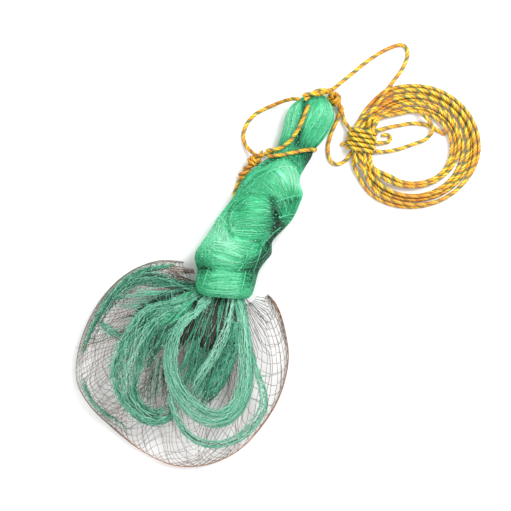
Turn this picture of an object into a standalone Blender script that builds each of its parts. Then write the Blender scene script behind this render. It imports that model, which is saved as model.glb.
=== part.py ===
"""A wound fishing net with a loose, puffed end and a coil of braided rope.

Metres, +Z up. The net lies on its back: the hank runs up along +Y, the loose end
spreads towards -Y, and the rope coil lies beside the head at +X. The origin is under
the middle of the netting, at the surface it lies on.
"""
import math

import bmesh
import bpy
from mathutils import Vector
from mathutils.bvhtree import BVHTree

MM = 0.001

# ---- driving dimensions -------------------------------------------------------------
ROPE_DIAMETER = 5.0 * MM
ROPE_SPACING = 12.0 * MM  # along a free rope, between two points of its tube
TOUCH_GAP = 0.3 * MM  # between two pieces that touch
NETTING_THICKNESS = 2.0 * MM
HANK_SIDES = 24
HANK_STEPS = 2  # sections made between two named ones, plus one
HANK_WIDEST = 0.42  # where a section is widest, as a share of its height
HANK_SIDE_FULLNESS = 0.86  # below 1 a section's sides are fuller than an ellipse's
HANK_CROWN_FULLNESS = 0.94
HANK_UNDERSIDE_REACH = 1.5  # above 1 the underside is flat
SKIRT_STEPS = 3  # columns made for each rib
BUNCH_SPACING = 10.0 * MM
BUNCH_GAP = 2.0 * MM  # from the loose end to what lies on it
BUNCH_SIDES = 5  # steps across a bunch's top, and again across its underside
BUNCH_EDGE_SHARE = 0.3  # of a bunch's thickness that is left at its edges
CURVE_STEPS = 400  # short steps that a smooth route is measured in
SHARP_ANGLE = math.radians(50)

# The hank's named sections, from the mouth to the tip of the head, in millimetres:
# left and right edge in plan, the underside's height and the crown's height.
HANK = (
    ("mouth end", (-1, -16), (48, -20), 4, 34),
    ("mouth rim", (-7, -12), (54, -16), 0, 47),
    ("fourth wrap", (-9, -2), (58, -4), 0, 54),
    ("third groove", (-6, 12), (62, 12), 0, 47),
    ("third wrap low", (-9, 21), (70, 23), 0, 54),
    ("third wrap", (-9, 32), (77, 32), 0, 58),
    ("second groove", (0, 46), (77, 45), 0, 50),
    ("second wrap low", (8, 57), (88, 57), 0, 56),
    ("second wrap", (15, 70), (100, 70), 0, 60),
    ("second wrap high", (27, 85), (108, 86), 0, 57),
    ("first groove", (36, 98), (113, 99), 0, 50),
    ("first wrap low", (42, 110), (109, 110), 0, 54),
    ("first wrap", (50, 121), (110, 121), 0, 52),
    ("shoulder", (64, 133), (116, 132), 1, 42),
    ("neck low", (79, 144), (122, 141), 6, 30),
    ("neck", (85, 153), (125, 150), 7, 27),
    ("head low", (88, 164), (136, 162), 4, 31),
    ("head", (92, 178), (145, 176), 0, 37),
    ("head wide", (95, 191), (149, 190), 0, 38),
    ("head high", (102, 202), (146, 201), 0, 34),
    ("head top", (114, 211), (140, 210), 1, 24),
    ("tip", (124, 215), (135, 214), 5, 13),
)

# The loose end's ribs, clockwise from the hank's left side, in millimetres: where each
# leaves the mouth, where it meets the surface, and how high it puffs.
RIBS = (
    ((-13, -9), (-22, 21), 17),
    ((-13, -13), (-52, 23), 26),
    ((-12, -17), (-85, 11), 34),
    ((-9, -20), (-112, -12), 38),
    ((-5, -22), (-133, -44), 42),
    ((-1, -23), (-146, -81), 45),
    ((4, -24), (-148, -116), 44),
    ((9, -24), (-133, -145), 40),
    ((14, -25), (-104, -173), 35),
    ((19, -25), (-73, -197), 38),
    ((24, -25), (-36, -214), 41),
    ((29, -26), (3, -213), 41),
    ((34, -26), (40, -196), 38),
    ((39, -26), (69, -165), 35),
    ((44, -26), (88, -131), 35),
    ((49, -26), (97, -91), 33),
    ((54, -24), (92, -53), 29),
    ((58, -21), (83, -28), 22),
    ((60, -16), (72, -15), 16),
)
MOUTH_HEIGHT = 24.0  # of the loose end where it leaves the hank
MOUTH_SHARE = 0.8  # of its rib's crown that the mouth may reach

# How a rib rises and falls: share of the way out, share of its crown's height.
RISE = (
    (0.12, 0.86),
    (0.28, 0.97),
    (0.42, 1.00),
    (0.55, 0.99),
    (0.67, 0.95),
    (0.78, 0.87),
    (0.87, 0.74),
    (0.94, 0.54),
    (0.985, 0.28),
)
PLEAT = 0.9  # up and down of neighbouring columns at the mouth, flat at the foot
FOOT_HEIGHT = 4.0  # where the netting is widest and turns under
TURN_IN = 3.0
HEM_IN = 9.0  # how far the foot lies flat on the surface

# The largest gaps of the loose end: first and last column counted from the first rib,
# first and last ring counted from the mouth.
GAPS = (
    ("gap_upper_left", 10, 11, 3, 5),
    ("gap_left_high", 13, 14, 5, 6),
    ("gap_left", 16, 17, 6, 6),
    ("gap_left_low", 20, 21, 7, 7),
    ("gap_lower_left", 24, 25, 7, 7),
    ("gap_bottom_left", 28, 29, 6, 7),
    ("gap_left_window", 22, 24, 4, 4),
    ("gap_front_left", 27, 28, 2, 2),
    ("gap_front_right", 35, 36, 3, 3),
    ("gap_right_low", 41, 42, 4, 5),
    ("gap_right", 44, 45, 3, 5),
    ("gap_right_high", 48, 50, 3, 5),
)

# Bunched folds that lie on the loose end, in millimetres: x, y, half-width, thickness.
BUNCHES = {
    "bunch_front": (
        (-9, -35, 4, 5), (-22, -43, 5, 7), (-33, -60, 6, 8), (-37, -84, 6, 8),
        (-35, -104, 6, 8), (-26, -125, 6, 8), (-10, -143, 7, 8), (12, -154, 7, 8),
        (30, -149, 7, 8), (42, -134, 7, 8), (48, -112, 7, 8), (48, -88, 7, 8),
        (46, -62, 6, 8), (43, -36, 5, 6),
    ),
    "bunch_slant": (
        (29, -36, 3.5, 6), (25, -56, 4, 7), (17, -74, 4.5, 7), (5, -93, 4.5, 7),
        (-5, -110, 4, 6), (-10, -122, 3.5, 5),
    ),
    "bunch_back": (
        (35, -66, 3.5, 6), (31, -80, 7, 7), (22, -101, 9, 8), (11, -121, 8, 7),
        (3, -134, 5, 5),
    ),
    "bunch_outer": (
        (-37, -130, 2.5, 4), (-31, -150, 3, 5), (-21, -168, 3, 5), (-7, -180, 3, 5),
        (10, -185, 3, 5), (28, -183, 3, 5), (45, -174, 3, 5), (59, -160, 3, 5),
        (68, -140, 3, 5), (67, -124, 3, 5), (61, -108, 2.5, 4),
    ),
    "bunch_left": (
        (-24, -25, 3, 5), (-42, -28, 6, 7), (-60, -39, 9, 8), (-76, -66, 11, 8),
        (-87, -96, 12, 8), (-90, -120, 10, 8), (-82, -138, 9, 8), (-68, -150, 8, 8),
        (-54, -154, 7, 7), (-45, -148, 6, 6),
    ),
    "bunch_edge": (
        (-19, -16, 3, 5), (-34, -10, 4, 5), (-50, 0, 5, 5), (-66, 2, 5, 5),
        (-83, -5, 5, 5), (-97, -17, 5, 5), (-109, -32, 4, 5), (-119, -50, 4, 5),
        (-126, -70, 3, 4),
    ),
}

# The free rope's own points, in millimetres.
ROPE_ROUTES = {
    "rope_left_loop": (
        (109, 206, 36), (101, 207, 29), (91, 206, 17), (80, 203, 7), (68, 198, 3),
        (57, 191, 3), (49, 181, 3), (45, 169, 3), (47, 158, 4), (53, 150, 8),
        (58, 146, 13),
    ),
    "rope_over_head": (
        (71, 149, 27), (80, 149, 31), (91, 153, 32), (101, 162, 35), (109, 175, 40),
        (115, 189, 42), (119, 199, 40),
    ),
    "rope_neck_wrap": (
        (73, 142, 29), (82, 142, 34), (94, 144, 34), (108, 147, 33), (120, 149, 31),
        (129, 150, 25), (132, 150, 15), (128, 150, 6), (119, 150, 3), (104, 150, 3),
        (89, 150, 3), (78, 149, 4), (69, 146, 8),
    ),
    "rope_neck_tail": ((41, 117, 7), (38, 110, 3), (35, 102, 3), (34, 95, 3)),
    "rope_hand_loop": (
        (149, 221, 12), (158, 229, 5), (170, 239, 3), (186, 252, 3), (202, 263, 3),
        (216, 270, 3), (227, 273, 3), (234, 269, 3), (235, 259, 3), (229, 245, 4),
        (219, 231, 9), (208, 216, 16), (198, 201, 18), (190, 189, 21),
    ),
    "rope_link": ((161, 190, 6), (161, 186, 6), (161, 182, 6)),
    "rope_small_loop": (
        (154, 187, 4), (150, 178, 3), (146, 168, 3), (143, 155, 3), (144, 143, 3),
        (149, 136, 3), (155, 135, 3), (159, 139, 3),
    ),
    "rope_inner_high": ((210, 174, 4), (222, 179, 3), (240, 182, 3), (258, 180, 3), (274, 172, 3)),
    "rope_inner_low": (
        (257, 184, 9), (263, 180, 10), (264, 172, 8), (256, 164, 4), (242, 158, 3),
        (224, 152, 3), (207, 149, 4),
    ),
    "rope_end_hook": ((208, 161, 4), (214, 161, 3), (220, 165, 3)),
    "rope_end_stub": ((154.5, 160, 4), (149.5, 159, 3)),
}

# Knots in the rope, in millimetres: x, y and z of the centreline, and the radius.
KNOTS = {
    "head_knot": (
        (113, 207, 38, 4), (121, 211, 36, 5), (131, 214, 33, 6), (141, 215, 25, 6),
        (149, 211, 16, 5.5), (155, 203, 9, 5), (159, 196, 6, 4),
    ),
    "neck_knot": (
        (68, 146, 22, 4), (62, 142, 20, 5.5), (54, 134, 16, 6), (47, 126, 12, 5), (42, 119, 8, 3.5),
    ),
}
KNOT_SPACING = 4.0 * MM

# The rope's coil: an oval ring lying on the surface, and the wraps that hold it.
COIL_CENTRE = (241 * MM, 155 * MM)
COIL_OUTER = 79.0 * MM
COIL_INNER = 42.0 * MM
COIL_HEIGHT = 14.0 * MM
COIL_SQUASH = 0.924  # its size along Y over its size along X
COIL_STEPS = 48
COIL_PROFILE_SIDES = 12
TIE_FROM, TIE_TO = 163, 185  # degrees round the coil that the wraps cover
TIE_COLUMNS, TIE_ROWS = 8, 14
TIE_GAP = 3 * TOUCH_GAP  # between the coil and the wraps over it
TIE_SQUARENESS = 0.6  # below 1 the wraps are fuller than a half circle
COIL_FLOOR_SHARE = 0.8  # how low the coil's round profile is cut flat, 1 being its foot
COIL_PROFILE_REACH = 0.9


# ---- helpers ------------------------------------------------------------------------
def clear_scene():
    for thing in list(bpy.data.objects):
        bpy.data.objects.remove(thing, do_unlink=True)


def make_collection(name):
    collection = bpy.data.collections.new(name)
    bpy.context.scene.collection.children.link(collection)
    return collection


def make_material(name, colour, roughness):
    material = bpy.data.materials.new(name)
    material.use_nodes = True
    shader = material.node_tree.nodes["Principled BSDF"]
    shader.inputs["Base Color"].default_value = (*colour, 1.0)
    shader.inputs["Roughness"].default_value = roughness
    shader.inputs["Metallic"].default_value = 0.0
    return material


def smooth(values, share):
    """A point of the smooth curve through values, share 0 at the first and 1 at the last."""
    place = share * (len(values) - 1)
    index = min(int(place), len(values) - 2)
    part = place - index
    before, start, end, after = (
        Vector(values[max(0, min(len(values) - 1, index + step))]) for step in (-1, 0, 1, 2)
    )
    bend = (before * 2 - start * 5 + end * 4 - after) * part**2
    twist = (start * 3 - before - end * 3 + after) * part**3
    return (start * 2 + (end - before) * part + bend + twist) / 2


def even_route(values, spacing):
    """Points about spacing apart along the smooth curve through values."""
    fine = [smooth(values, step / CURVE_STEPS) for step in range(CURVE_STEPS + 1)]
    run = [0.0]
    for first, second in zip(fine, fine[1:]):
        run.append(run[-1] + (second.to_3d() - first.to_3d()).length)
    count = max(2, round(run[-1] / spacing))
    route = []
    index = 0
    for step in range(count + 1):
        target = run[-1] * step / count
        while index < len(run) - 2 and run[index + 1] < target:
            index += 1
        share = (target - run[index]) / (run[index + 1] - run[index])
        route.append(fine[index].lerp(fine[index + 1], min(1.0, max(0.0, share))))
    return route


def add_object(name, mesh, material, collection):
    mesh.shade_smooth()
    mesh.set_sharp_from_angle(angle=SHARP_ANGLE)
    mesh.materials.append(material)
    piece = bpy.data.objects.new(name, mesh)
    collection.objects.link(piece)
    return piece


def loft(name, rings, material, collection):
    """A closed solid through rings of points, with a flat face on each end."""
    shape = bmesh.new()
    rows = [[shape.verts.new(point) for point in ring] for ring in rings]
    for row, after in zip(rows, rows[1:]):
        for index, corner in enumerate(row):
            following = (index + 1) % len(row)
            shape.faces.new((corner, row[following], after[following], after[index]))
    shape.faces.new(list(reversed(rows[0])))
    shape.faces.new(rows[-1])
    bmesh.ops.recalc_face_normals(shape, faces=shape.faces)
    mesh = bpy.data.meshes.new(name)
    shape.to_mesh(mesh)
    shape.free()
    return add_object(name, mesh, material, collection)


# ---- the wound body -----------------------------------------------------------------
def hank_ring(left_x, left_y, right_x, right_y, under, crown):
    """One section: a full upper side, a low widest place and a flat underside."""
    under = max(0.0, under)
    middle = Vector(((left_x + right_x) / 2, (left_y + right_y) / 2, 0))
    half = Vector(((right_x - left_x) / 2, (right_y - left_y) / 2, 0))
    widest = under + (crown - under) * HANK_WIDEST
    ring = []
    for side in range(HANK_SIDES):
        angle = math.tau * side / HANK_SIDES
        across = math.copysign(abs(math.cos(angle)) ** HANK_SIDE_FULLNESS, math.cos(angle))
        rise = math.sin(angle)
        if rise >= 0:
            height = widest + (crown - widest) * rise**HANK_CROWN_FULLNESS
        else:
            height = max(under, widest + (widest - under) * HANK_UNDERSIDE_REACH * rise)
        point = middle + half * across
        point.z = height
        ring.append(point * MM)
    return ring


def build_hank(material, collection):
    rows = [(*left, *right, under, crown) for _, left, right, under, crown in HANK]
    count = (len(rows) - 1) * HANK_STEPS
    rings = [hank_ring(*smooth_row(rows, step / count)) for step in range(count + 1)]
    return loft("hank", rings, material, collection)


def smooth_row(rows, share):
    """The smooth curve through rows of any length, value by value."""
    columns = range(len(rows[0]))
    return [smooth([(row[column], 0.0) for row in rows], share)[0] for column in columns]


# ---- the loose end ------------------------------------------------------------------
def rib_points(mouth_x, mouth_y, foot_x, foot_y, crown, pleat):
    """The points down one column of the loose end, from the mouth to the hem."""
    mouth, foot = Vector((mouth_x, mouth_y)), Vector((foot_x, foot_y))
    length = (foot - mouth).length
    outward = (foot - mouth) / length
    points = [(mouth, min(MOUTH_HEIGHT, crown * MOUTH_SHARE))]
    for way, share in RISE:
        points.append((mouth.lerp(foot, way), crown * share + pleat * (1 - way)))
    points.append((foot, FOOT_HEIGHT))
    points.append((foot - outward * TURN_IN, 0.0))
    points.append((foot - outward * HEM_IN, 0.0))
    return [Vector((place.x, place.y, height)) * MM for place, height in points]


def skirt_columns():
    rows = [(*mouth, *foot, crown) for mouth, foot, crown in RIBS]
    count = (len(rows) - 1) * SKIRT_STEPS
    return [
        rib_points(*smooth_row(rows, step / count), PLEAT * (-1) ** step)
        for step in range(count + 1)
    ]


def in_gap(column, ring):
    return any(
        first <= column <= last and near <= ring <= far for _, first, last, near, far in GAPS
    )


def build_skirt(material, collection):
    columns = skirt_columns()
    shape = bmesh.new()
    grid = [[shape.verts.new(point) for point in column] for column in columns]
    for column, (line, beside) in enumerate(zip(grid, grid[1:])):
        for ring in range(len(line) - 1):
            if not in_gap(column, ring):
                shape.faces.new((line[ring], line[ring + 1], beside[ring + 1], beside[ring]))
    mesh = bpy.data.meshes.new("skirt")
    shape.to_mesh(mesh)
    shape.free()
    piece = add_object("skirt", mesh, material, collection)
    wall = piece.modifiers.new("netting thickness", "SOLIDIFY")
    wall.thickness = NETTING_THICKNESS
    wall.offset = -1.0
    return piece


# ---- the bunched folds --------------------------------------------------------------
def whole_skirt_tree():
    """The loose end's outer face without its gaps, to lay the bunches on."""
    columns = skirt_columns()
    size = len(columns[0])
    points = [point for column in columns for point in column]
    faces = []
    for column in range(len(columns) - 1):
        for ring in range(size - 3):
            near = column * size + ring
            faces.append((near, near + size, near + size + 1, near + 1))
    return BVHTree.FromPolygons(points, faces)


def surface_height(tree, place):
    hit = tree.ray_cast(Vector((place.x, place.y, 1.0)), Vector((0, 0, -1)))[0]
    return hit.z if hit else 0.0


def bunch_ring(tree, here, along, half_width, thickness):
    """One section of a bunch: its underside follows the netting it lies on."""
    across = Vector((along.y, -along.x, 0)).normalized()
    under, over = [], []
    for step in range(BUNCH_SIDES + 1):
        share = math.cos(math.pi * step / BUNCH_SIDES)
        place = here + across * half_width * share
        low = surface_height(tree, place) + BUNCH_GAP
        lift = thickness * (1 - share * share) ** 0.5
        edge = low + thickness * BUNCH_EDGE_SHARE
        over.append(Vector((place.x, place.y, edge + lift * (1 - BUNCH_EDGE_SHARE))))
        under.append(Vector((place.x, place.y, low)))
    return over + list(reversed(under))


def build_bunch(name, rows, tree, material, collection):
    route = even_route([Vector(row) * MM for row in rows], BUNCH_SPACING)
    rings = []
    for index, row in enumerate(route):
        ahead, behind = route[min(index + 1, len(route) - 1)], route[max(index - 1, 0)]
        along = Vector((ahead[0] - behind[0], ahead[1] - behind[1], 0))
        here = Vector((row[0], row[1], 0))
        rings.append(bunch_ring(tree, here, along, row[2], row[3]))
    return loft(name, rings, material, collection)


# ---- the rope -----------------------------------------------------------------------
def build_rope(name, points, material, collection):
    curve = bpy.data.curves.new(name, "CURVE")
    curve.dimensions = "3D"
    curve.bevel_depth = ROPE_DIAMETER / 2
    curve.bevel_resolution = 2
    curve.use_fill_caps = True
    route = even_route([Vector(point) * MM for point in points], ROPE_SPACING)
    spline = curve.splines.new("POLY")
    spline.points.add(len(route) - 1)
    for point, place in zip(spline.points, route):
        point.co = (*place, 1.0)
    curve.materials.append(material)
    piece = bpy.data.objects.new(name, curve)
    collection.objects.link(piece)
    return piece


def build_knot(name, rows, material, collection):
    """A knot as one bent solid that is thick where the rope turns round itself."""
    route = even_route([Vector(row) * MM for row in rows], KNOT_SPACING)
    curve = bpy.data.curves.new(name, "CURVE")
    curve.dimensions = "3D"
    curve.bevel_depth = 1.0
    curve.bevel_resolution = 2
    curve.use_fill_caps = True
    spline = curve.splines.new("POLY")
    spline.points.add(len(route) - 1)
    for point, row in zip(spline.points, route):
        point.co = (*row[:3], 1.0)
        point.radius = row[3]
    curve.materials.append(material)
    piece = bpy.data.objects.new(name, curve)
    collection.objects.link(piece)
    return piece


def build_coil(material, collection):
    """The coil's outer form: a flat-bottomed profile turned once, then made oval."""
    shape = bmesh.new()
    middle, half = (COIL_OUTER + COIL_INNER) / 2, (COIL_OUTER - COIL_INNER) / 2
    corners = []
    for side in range(COIL_PROFILE_SIDES):
        angle = -math.tau * (side + 0.5) / COIL_PROFILE_SIDES
        above_floor = max(-COIL_FLOOR_SHARE, math.sin(angle)) + COIL_FLOOR_SHARE
        height = COIL_HEIGHT * above_floor / (2 * COIL_PROFILE_REACH)
        corners.append(shape.verts.new((middle + half * math.cos(angle), 0, height)))
    for corner, following in zip(corners, corners[1:] + corners[:1]):
        shape.edges.new((corner, following))
    mesh = bpy.data.meshes.new("rope_coil")
    shape.to_mesh(mesh)
    shape.free()
    mesh.materials.append(material)
    piece = bpy.data.objects.new("rope_coil", mesh)
    piece.location = (*COIL_CENTRE, 0)
    piece.scale = (1, COIL_SQUASH, 1)
    collection.objects.link(piece)
    turn = piece.modifiers.new("turn", "SCREW")
    turn.steps = turn.render_steps = COIL_STEPS
    turn.use_merge_vertices = True
    turn.merge_threshold = 0.00001
    return piece


def build_tie(material, collection):
    """The wraps over the coil, down to the surface on both its sides."""
    shape = bmesh.new()
    grid = []
    for column in range(TIE_COLUMNS + 1):
        turn = math.radians(TIE_FROM + (TIE_TO - TIE_FROM) * column / TIE_COLUMNS)
        outward = Vector((math.cos(turn), math.sin(turn) * COIL_SQUASH, 0))
        line = []
        for row in range(TIE_ROWS + 1):
            angle = math.pi * row / TIE_ROWS
            across = math.copysign(abs(math.cos(angle)) ** TIE_SQUARENESS, math.cos(angle))
            middle, half = (COIL_OUTER + COIL_INNER) / 2, (COIL_OUTER - COIL_INNER) / 2
            place = Vector((*COIL_CENTRE, 0)) + outward * (middle + (half + TIE_GAP) * across)
            place.z = (COIL_HEIGHT + TIE_GAP) * math.sin(angle) ** TIE_SQUARENESS + TOUCH_GAP
            line.append(shape.verts.new(place))
        grid.append(line)
    for line, beside in zip(grid, grid[1:]):
        for row in range(TIE_ROWS):
            shape.faces.new((line[row], beside[row], beside[row + 1], line[row + 1]))
    mesh = bpy.data.meshes.new("coil_tie")
    shape.to_mesh(mesh)
    shape.free()
    piece = add_object("coil_tie", mesh, material, collection)
    wall = piece.modifiers.new("rope thickness", "SOLIDIFY")
    wall.thickness = ROPE_DIAMETER
    wall.offset = 1.0
    return piece


def main():
    clear_scene()
    collection = make_collection("fishing_net")
    netting = make_material("green nylon netting", (0.06, 0.52, 0.27), 0.45)
    loose_netting = make_material("loose nylon netting", (0.45, 0.47, 0.40), 0.5)
    rope = make_material("yellow polypropylene rope", (0.80, 0.47, 0.03), 0.55)
    build_hank(netting, collection)
    build_skirt(loose_netting, collection)
    tree = whole_skirt_tree()
    for name, rows in BUNCHES.items():
        build_bunch(name, rows, tree, netting, collection)
    for name, points in ROPE_ROUTES.items():
        build_rope(name, points, rope, collection)
    for name, rows in KNOTS.items():
        build_knot(name, rows, rope, collection)
    build_coil(rope, collection)
    build_tie(rope, collection)


main()
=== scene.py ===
# %% [markdown]
# # A fishing net, gathered and bound, with its hand line
# The net is one long piece of green nylon netting. Most of it is wound round itself into a hank, its last
# part is left loose and puffs out over the floor, and a laid rope holds the hank by its head and ends in a
# coil. Only the outer forms come from the frame. Everything that the eye reads as net or rope, the threads,
# the meshes, the knots and the rope's strands, is made here.

# %% Load the frame
import math

import bpy
import numpy as np
from mathutils import Matrix, Vector
from mathutils.bvhtree import BVHTree


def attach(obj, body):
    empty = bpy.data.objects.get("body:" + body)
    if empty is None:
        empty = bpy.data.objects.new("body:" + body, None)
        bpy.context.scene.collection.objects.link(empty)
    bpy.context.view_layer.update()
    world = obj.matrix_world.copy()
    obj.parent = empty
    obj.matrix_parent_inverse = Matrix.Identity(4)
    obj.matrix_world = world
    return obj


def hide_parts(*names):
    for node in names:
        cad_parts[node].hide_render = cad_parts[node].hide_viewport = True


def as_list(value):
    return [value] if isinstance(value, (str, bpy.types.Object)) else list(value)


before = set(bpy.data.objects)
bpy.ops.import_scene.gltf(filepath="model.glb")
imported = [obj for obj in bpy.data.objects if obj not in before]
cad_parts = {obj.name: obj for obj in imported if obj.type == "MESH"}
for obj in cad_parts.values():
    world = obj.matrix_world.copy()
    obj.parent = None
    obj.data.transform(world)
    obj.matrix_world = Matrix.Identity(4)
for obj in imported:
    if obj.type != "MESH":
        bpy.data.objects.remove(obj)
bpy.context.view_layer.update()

MM = 0.001
RANDOM = np.random.default_rng(11)

# %% [markdown]
# ## Camera
# The net lies on the floor and is seen from straight above, so the camera hangs over its middle and looks
# down, with the head of the hank towards the top. A long lens keeps the outline true.

# %% Camera
VIEW_CENTRE = (59 * MM, 29 * MM)
VIEW_WIDTH = 593 * MM
CAMERA_LENS, CAMERA_SENSOR = 85.0, 36.0
camera_height = VIEW_WIDTH * CAMERA_LENS / CAMERA_SENSOR
bpy.ops.object.select_all(action="DESELECT")
bpy.ops.object.camera_add(location=(*VIEW_CENTRE, camera_height), rotation=(0, 0, 0))
camera = bpy.context.object
camera.data.lens, camera.data.sensor_width = CAMERA_LENS, CAMERA_SENSOR
bpy.context.scene.camera = camera
print("camera", round(camera_height, 3), "m above the floor")

# %% [markdown]
# ## Lines, tubes and prisms
# Net and rope are both made of long thin things, thousands of them, so they share a few helpers. One draws a
# smooth curve through a few given points, one walks along it in even steps, and one puts a ring of
# points round each step and joins the rings. A curve object with a bevel would do the same for one thread,
# but it can't carry a shade for each thread or strands that turn round a rope.


# %% Smooth lines
def smooth(points, share):
    """The curve through points at each share, where whole numbers are the points themselves."""
    points = np.asarray(points, float)
    last = len(points) - 1
    share = np.clip(np.asarray(share, float), 0, last - 1e-9)
    place = share.astype(int)
    part = (share - place)[:, None]
    before, start = points[np.maximum(place - 1, 0)], points[place]
    end, after = points[place + 1], points[np.minimum(place + 2, last)]
    straight = start * 2 + (end - before) * part
    curved = (before * 2 - start * 5 + end * 4 - after) * part**2
    return (straight + curved + (start * 3 - before - end * 3 + after) * part**3) / 2


def reach_along(points):
    """How far along the line each of its points is."""
    return np.concatenate([[0.0], np.cumsum(np.linalg.norm(np.diff(points, axis=0), axis=1))])


def at_reach(points, reach, wanted):
    """The line's rows at the wanted distances along it."""
    return np.stack([np.interp(wanted, reach, column) for column in points.T], axis=1)


def even_steps(points, spacing):
    """The same line with a point about every spacing, in the unit of points."""
    reach = reach_along(points)
    count = max(3, int(round(reach[-1] / spacing)) + 1)
    return at_reach(points, reach, np.linspace(0.0, reach[-1], count))


def route(points, spacing):
    """A smooth line through points in mm, with a point about every spacing mm, in metres."""
    fine = smooth(points, np.linspace(0, len(points) - 1, 40 * len(points)))
    return even_steps(fine, spacing) * MM


def line_length(line):
    return float(np.linalg.norm(np.diff(line, axis=0), axis=1).sum())


# %% Rings and prisms
def frames_along(lines):
    """For many lines at once, the two directions across each step, turned as little as possible."""
    along = np.gradient(lines, axis=1)
    along = along / (np.linalg.norm(along, axis=2, keepdims=True) + 1e-12)
    across = np.cross(along[:, 0], (0.0, 0.0, 1.0))
    upright = np.linalg.norm(across, axis=1) < 0.1
    across[upright] = np.cross(along[upright, 0], (1.0, 0.0, 0.0))
    sideways = np.empty_like(lines)
    for step in range(lines.shape[1]):
        heading = along[:, step]
        across = across - (across * heading).sum(axis=1, keepdims=True) * heading
        across = across / (np.linalg.norm(across, axis=1, keepdims=True) + 1e-12)
        sideways[:, step] = across
    return sideways, np.cross(along, sideways)


def wound_line(middle, angle, offset):
    """A line that winds about another, offset from it in metres, at this angle round each of its points."""
    sideways, outward = frames_along(middle[None])
    return middle + offset * (np.cos(angle) * sideways[0] + np.sin(angle) * outward[0])


def rings_round(lines, radius, sides, turned=0.0):
    """A ring of points round each step of each line; radius is one number or one for each line, step or
    point, and turned is how far each step's ring is turned."""
    sideways, outward = frames_along(lines)
    angles = np.arange(sides) * math.tau / sides + turned
    cosine, sine = np.cos(angles)[..., None], np.sin(angles)[..., None]
    spokes = cosine * sideways[:, :, None] + sine * outward[:, :, None]
    radius = np.asarray(radius, float)
    while radius.ndim < 3:
        radius = radius[..., None]
    return lines[:, :, None] + radius[..., None] * spokes


def prism_triangles(count, rings, sides):
    """The triangles of count closed prisms of that many rings, each ring with that many sides."""
    ring = np.arange(rings - 1)[:, None] * sides
    side = np.arange(sides)[None]
    near, near_next = ring + side, ring + (side + 1) % sides
    walls = np.stack([near, near_next, near_next + sides, near, near_next + sides, near + sides], axis=-1)
    corner = np.arange(1, sides - 1)
    last = (rings - 1) * sides
    front = np.stack([corner * 0, corner + 1, corner], axis=-1)
    back = np.stack([corner * 0, corner, corner + 1], axis=-1) + last
    one = np.concatenate([walls.reshape(-1, 3), front, back])
    return (one[None] + np.arange(count)[:, None, None] * rings * sides).reshape(-1, 3)


# %% Making a piece
def own(piece):
    """The piece goes with the one body there is."""
    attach(piece, "root")
    return piece


def add_mesh(name, points, triangles, material, tones=None):
    """A smooth-shaded object of these points and triangles, with a shade for each point."""
    mesh = bpy.data.meshes.new(name)
    mesh.from_pydata(points, [], triangles)
    if tones is not None:
        layer = mesh.attributes.new("tone", "FLOAT", "POINT")
        layer.data.foreach_set("value", np.asarray(tones, np.float32))
    mesh.materials.append(material)
    mesh.shade_smooth()
    piece = bpy.data.objects.new(name, mesh)
    bpy.context.collection.objects.link(piece)
    return piece


# %% Many strands in one piece
STRAND_SIDES = 3
FLOOR_GAP = 0.05 * MM  # left below the lowest strand


class Strands:
    """Gathers families of strands, each with its shade, and makes one mesh of them all."""

    def __init__(self):
        self.points, self.triangles, self.tones, self.first = [], [], [], 0

    def add(self, lines, radius, tones):
        """lines is (count, steps, 3) in metres; tones is one for each strand or for each step of it."""
        lines = np.asarray(lines, float)
        count, steps = lines.shape[:2]
        rings = rings_round(lines, radius, STRAND_SIDES)
        tones = np.asarray(tones, float)
        tones = np.broadcast_to(tones[:, None] if tones.ndim == 1 else tones, (count, steps))
        self.points.append(rings.reshape(-1, 3))
        self.triangles.append(prism_triangles(count, steps, STRAND_SIDES) + self.first)
        self.tones.append(np.repeat(tones, STRAND_SIDES, axis=1).ravel())
        self.first += count * steps * STRAND_SIDES

    def finish(self, name, material):
        points, triangles = np.concatenate(self.points), np.concatenate(self.triangles)
        points[:, 2] = np.maximum(points[:, 2], FLOOR_GAP)
        piece = add_mesh(name, points, triangles, material, np.concatenate(self.tones))
        print(name, len(triangles), "triangles")
        return piece


def add_knots(strands, centres, tones, size=0.6):
    """Knots of the net, as short strands that are thick in their middle, each turned its own way."""
    centres = np.asarray(centres, float)
    heading = RANDOM.normal(0, 1, centres.shape)
    heading /= np.linalg.norm(heading, axis=1, keepdims=True)
    reach = np.array([-1.4, 0.0, 1.4])[None, :, None]
    lines = centres[:, None] + heading[:, None] * reach * size * MM
    radii = np.broadcast_to(np.array([0.4, 1.0, 0.4]) * size * MM, (len(centres), 3))
    strands.add(lines, radii, tones)


# %% [markdown]
# ## Colours and the node helpers
# Colours are written as the hex values seen on a screen, and one function turns them to the linear
# values that shaders use. Another adds a node with its settings and its links, and a few short ones add the
# nodes that the finishes share.


# %% Colour and node helpers
RELIEF_DEPTH = 0.3 * MM


def linear(hex_colour):
    """An sRGB hex colour as linear red, green, blue and alpha."""
    values = [int(hex_colour[place:place + 2], 16) / 255 for place in (1, 3, 5)]
    return (*[v / 12.92 if v <= 0.04045 else ((v + 0.055) / 1.055) ** 2.4 for v in values], 1.0)


def node(tree, kind, inputs=None, stops=None, **settings):
    """Adds a node; inputs are values or other nodes' sockets, and stops are a ramp's places and colours."""
    made = tree.nodes.new(kind)
    for key, value in settings.items():
        setattr(made, key, value)
    for key, value in (inputs or {}).items():
        if isinstance(value, bpy.types.NodeSocket):
            tree.links.new(value, made.inputs[key])
        else:
            made.inputs[key].default_value = value
    if stops:
        while len(made.color_ramp.elements) < len(stops):
            made.color_ramp.elements.new(1.0)
        for element, (place, colour) in zip(made.color_ramp.elements, stops):
            element.position, element.color = place, linear(colour)
    return made


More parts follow.
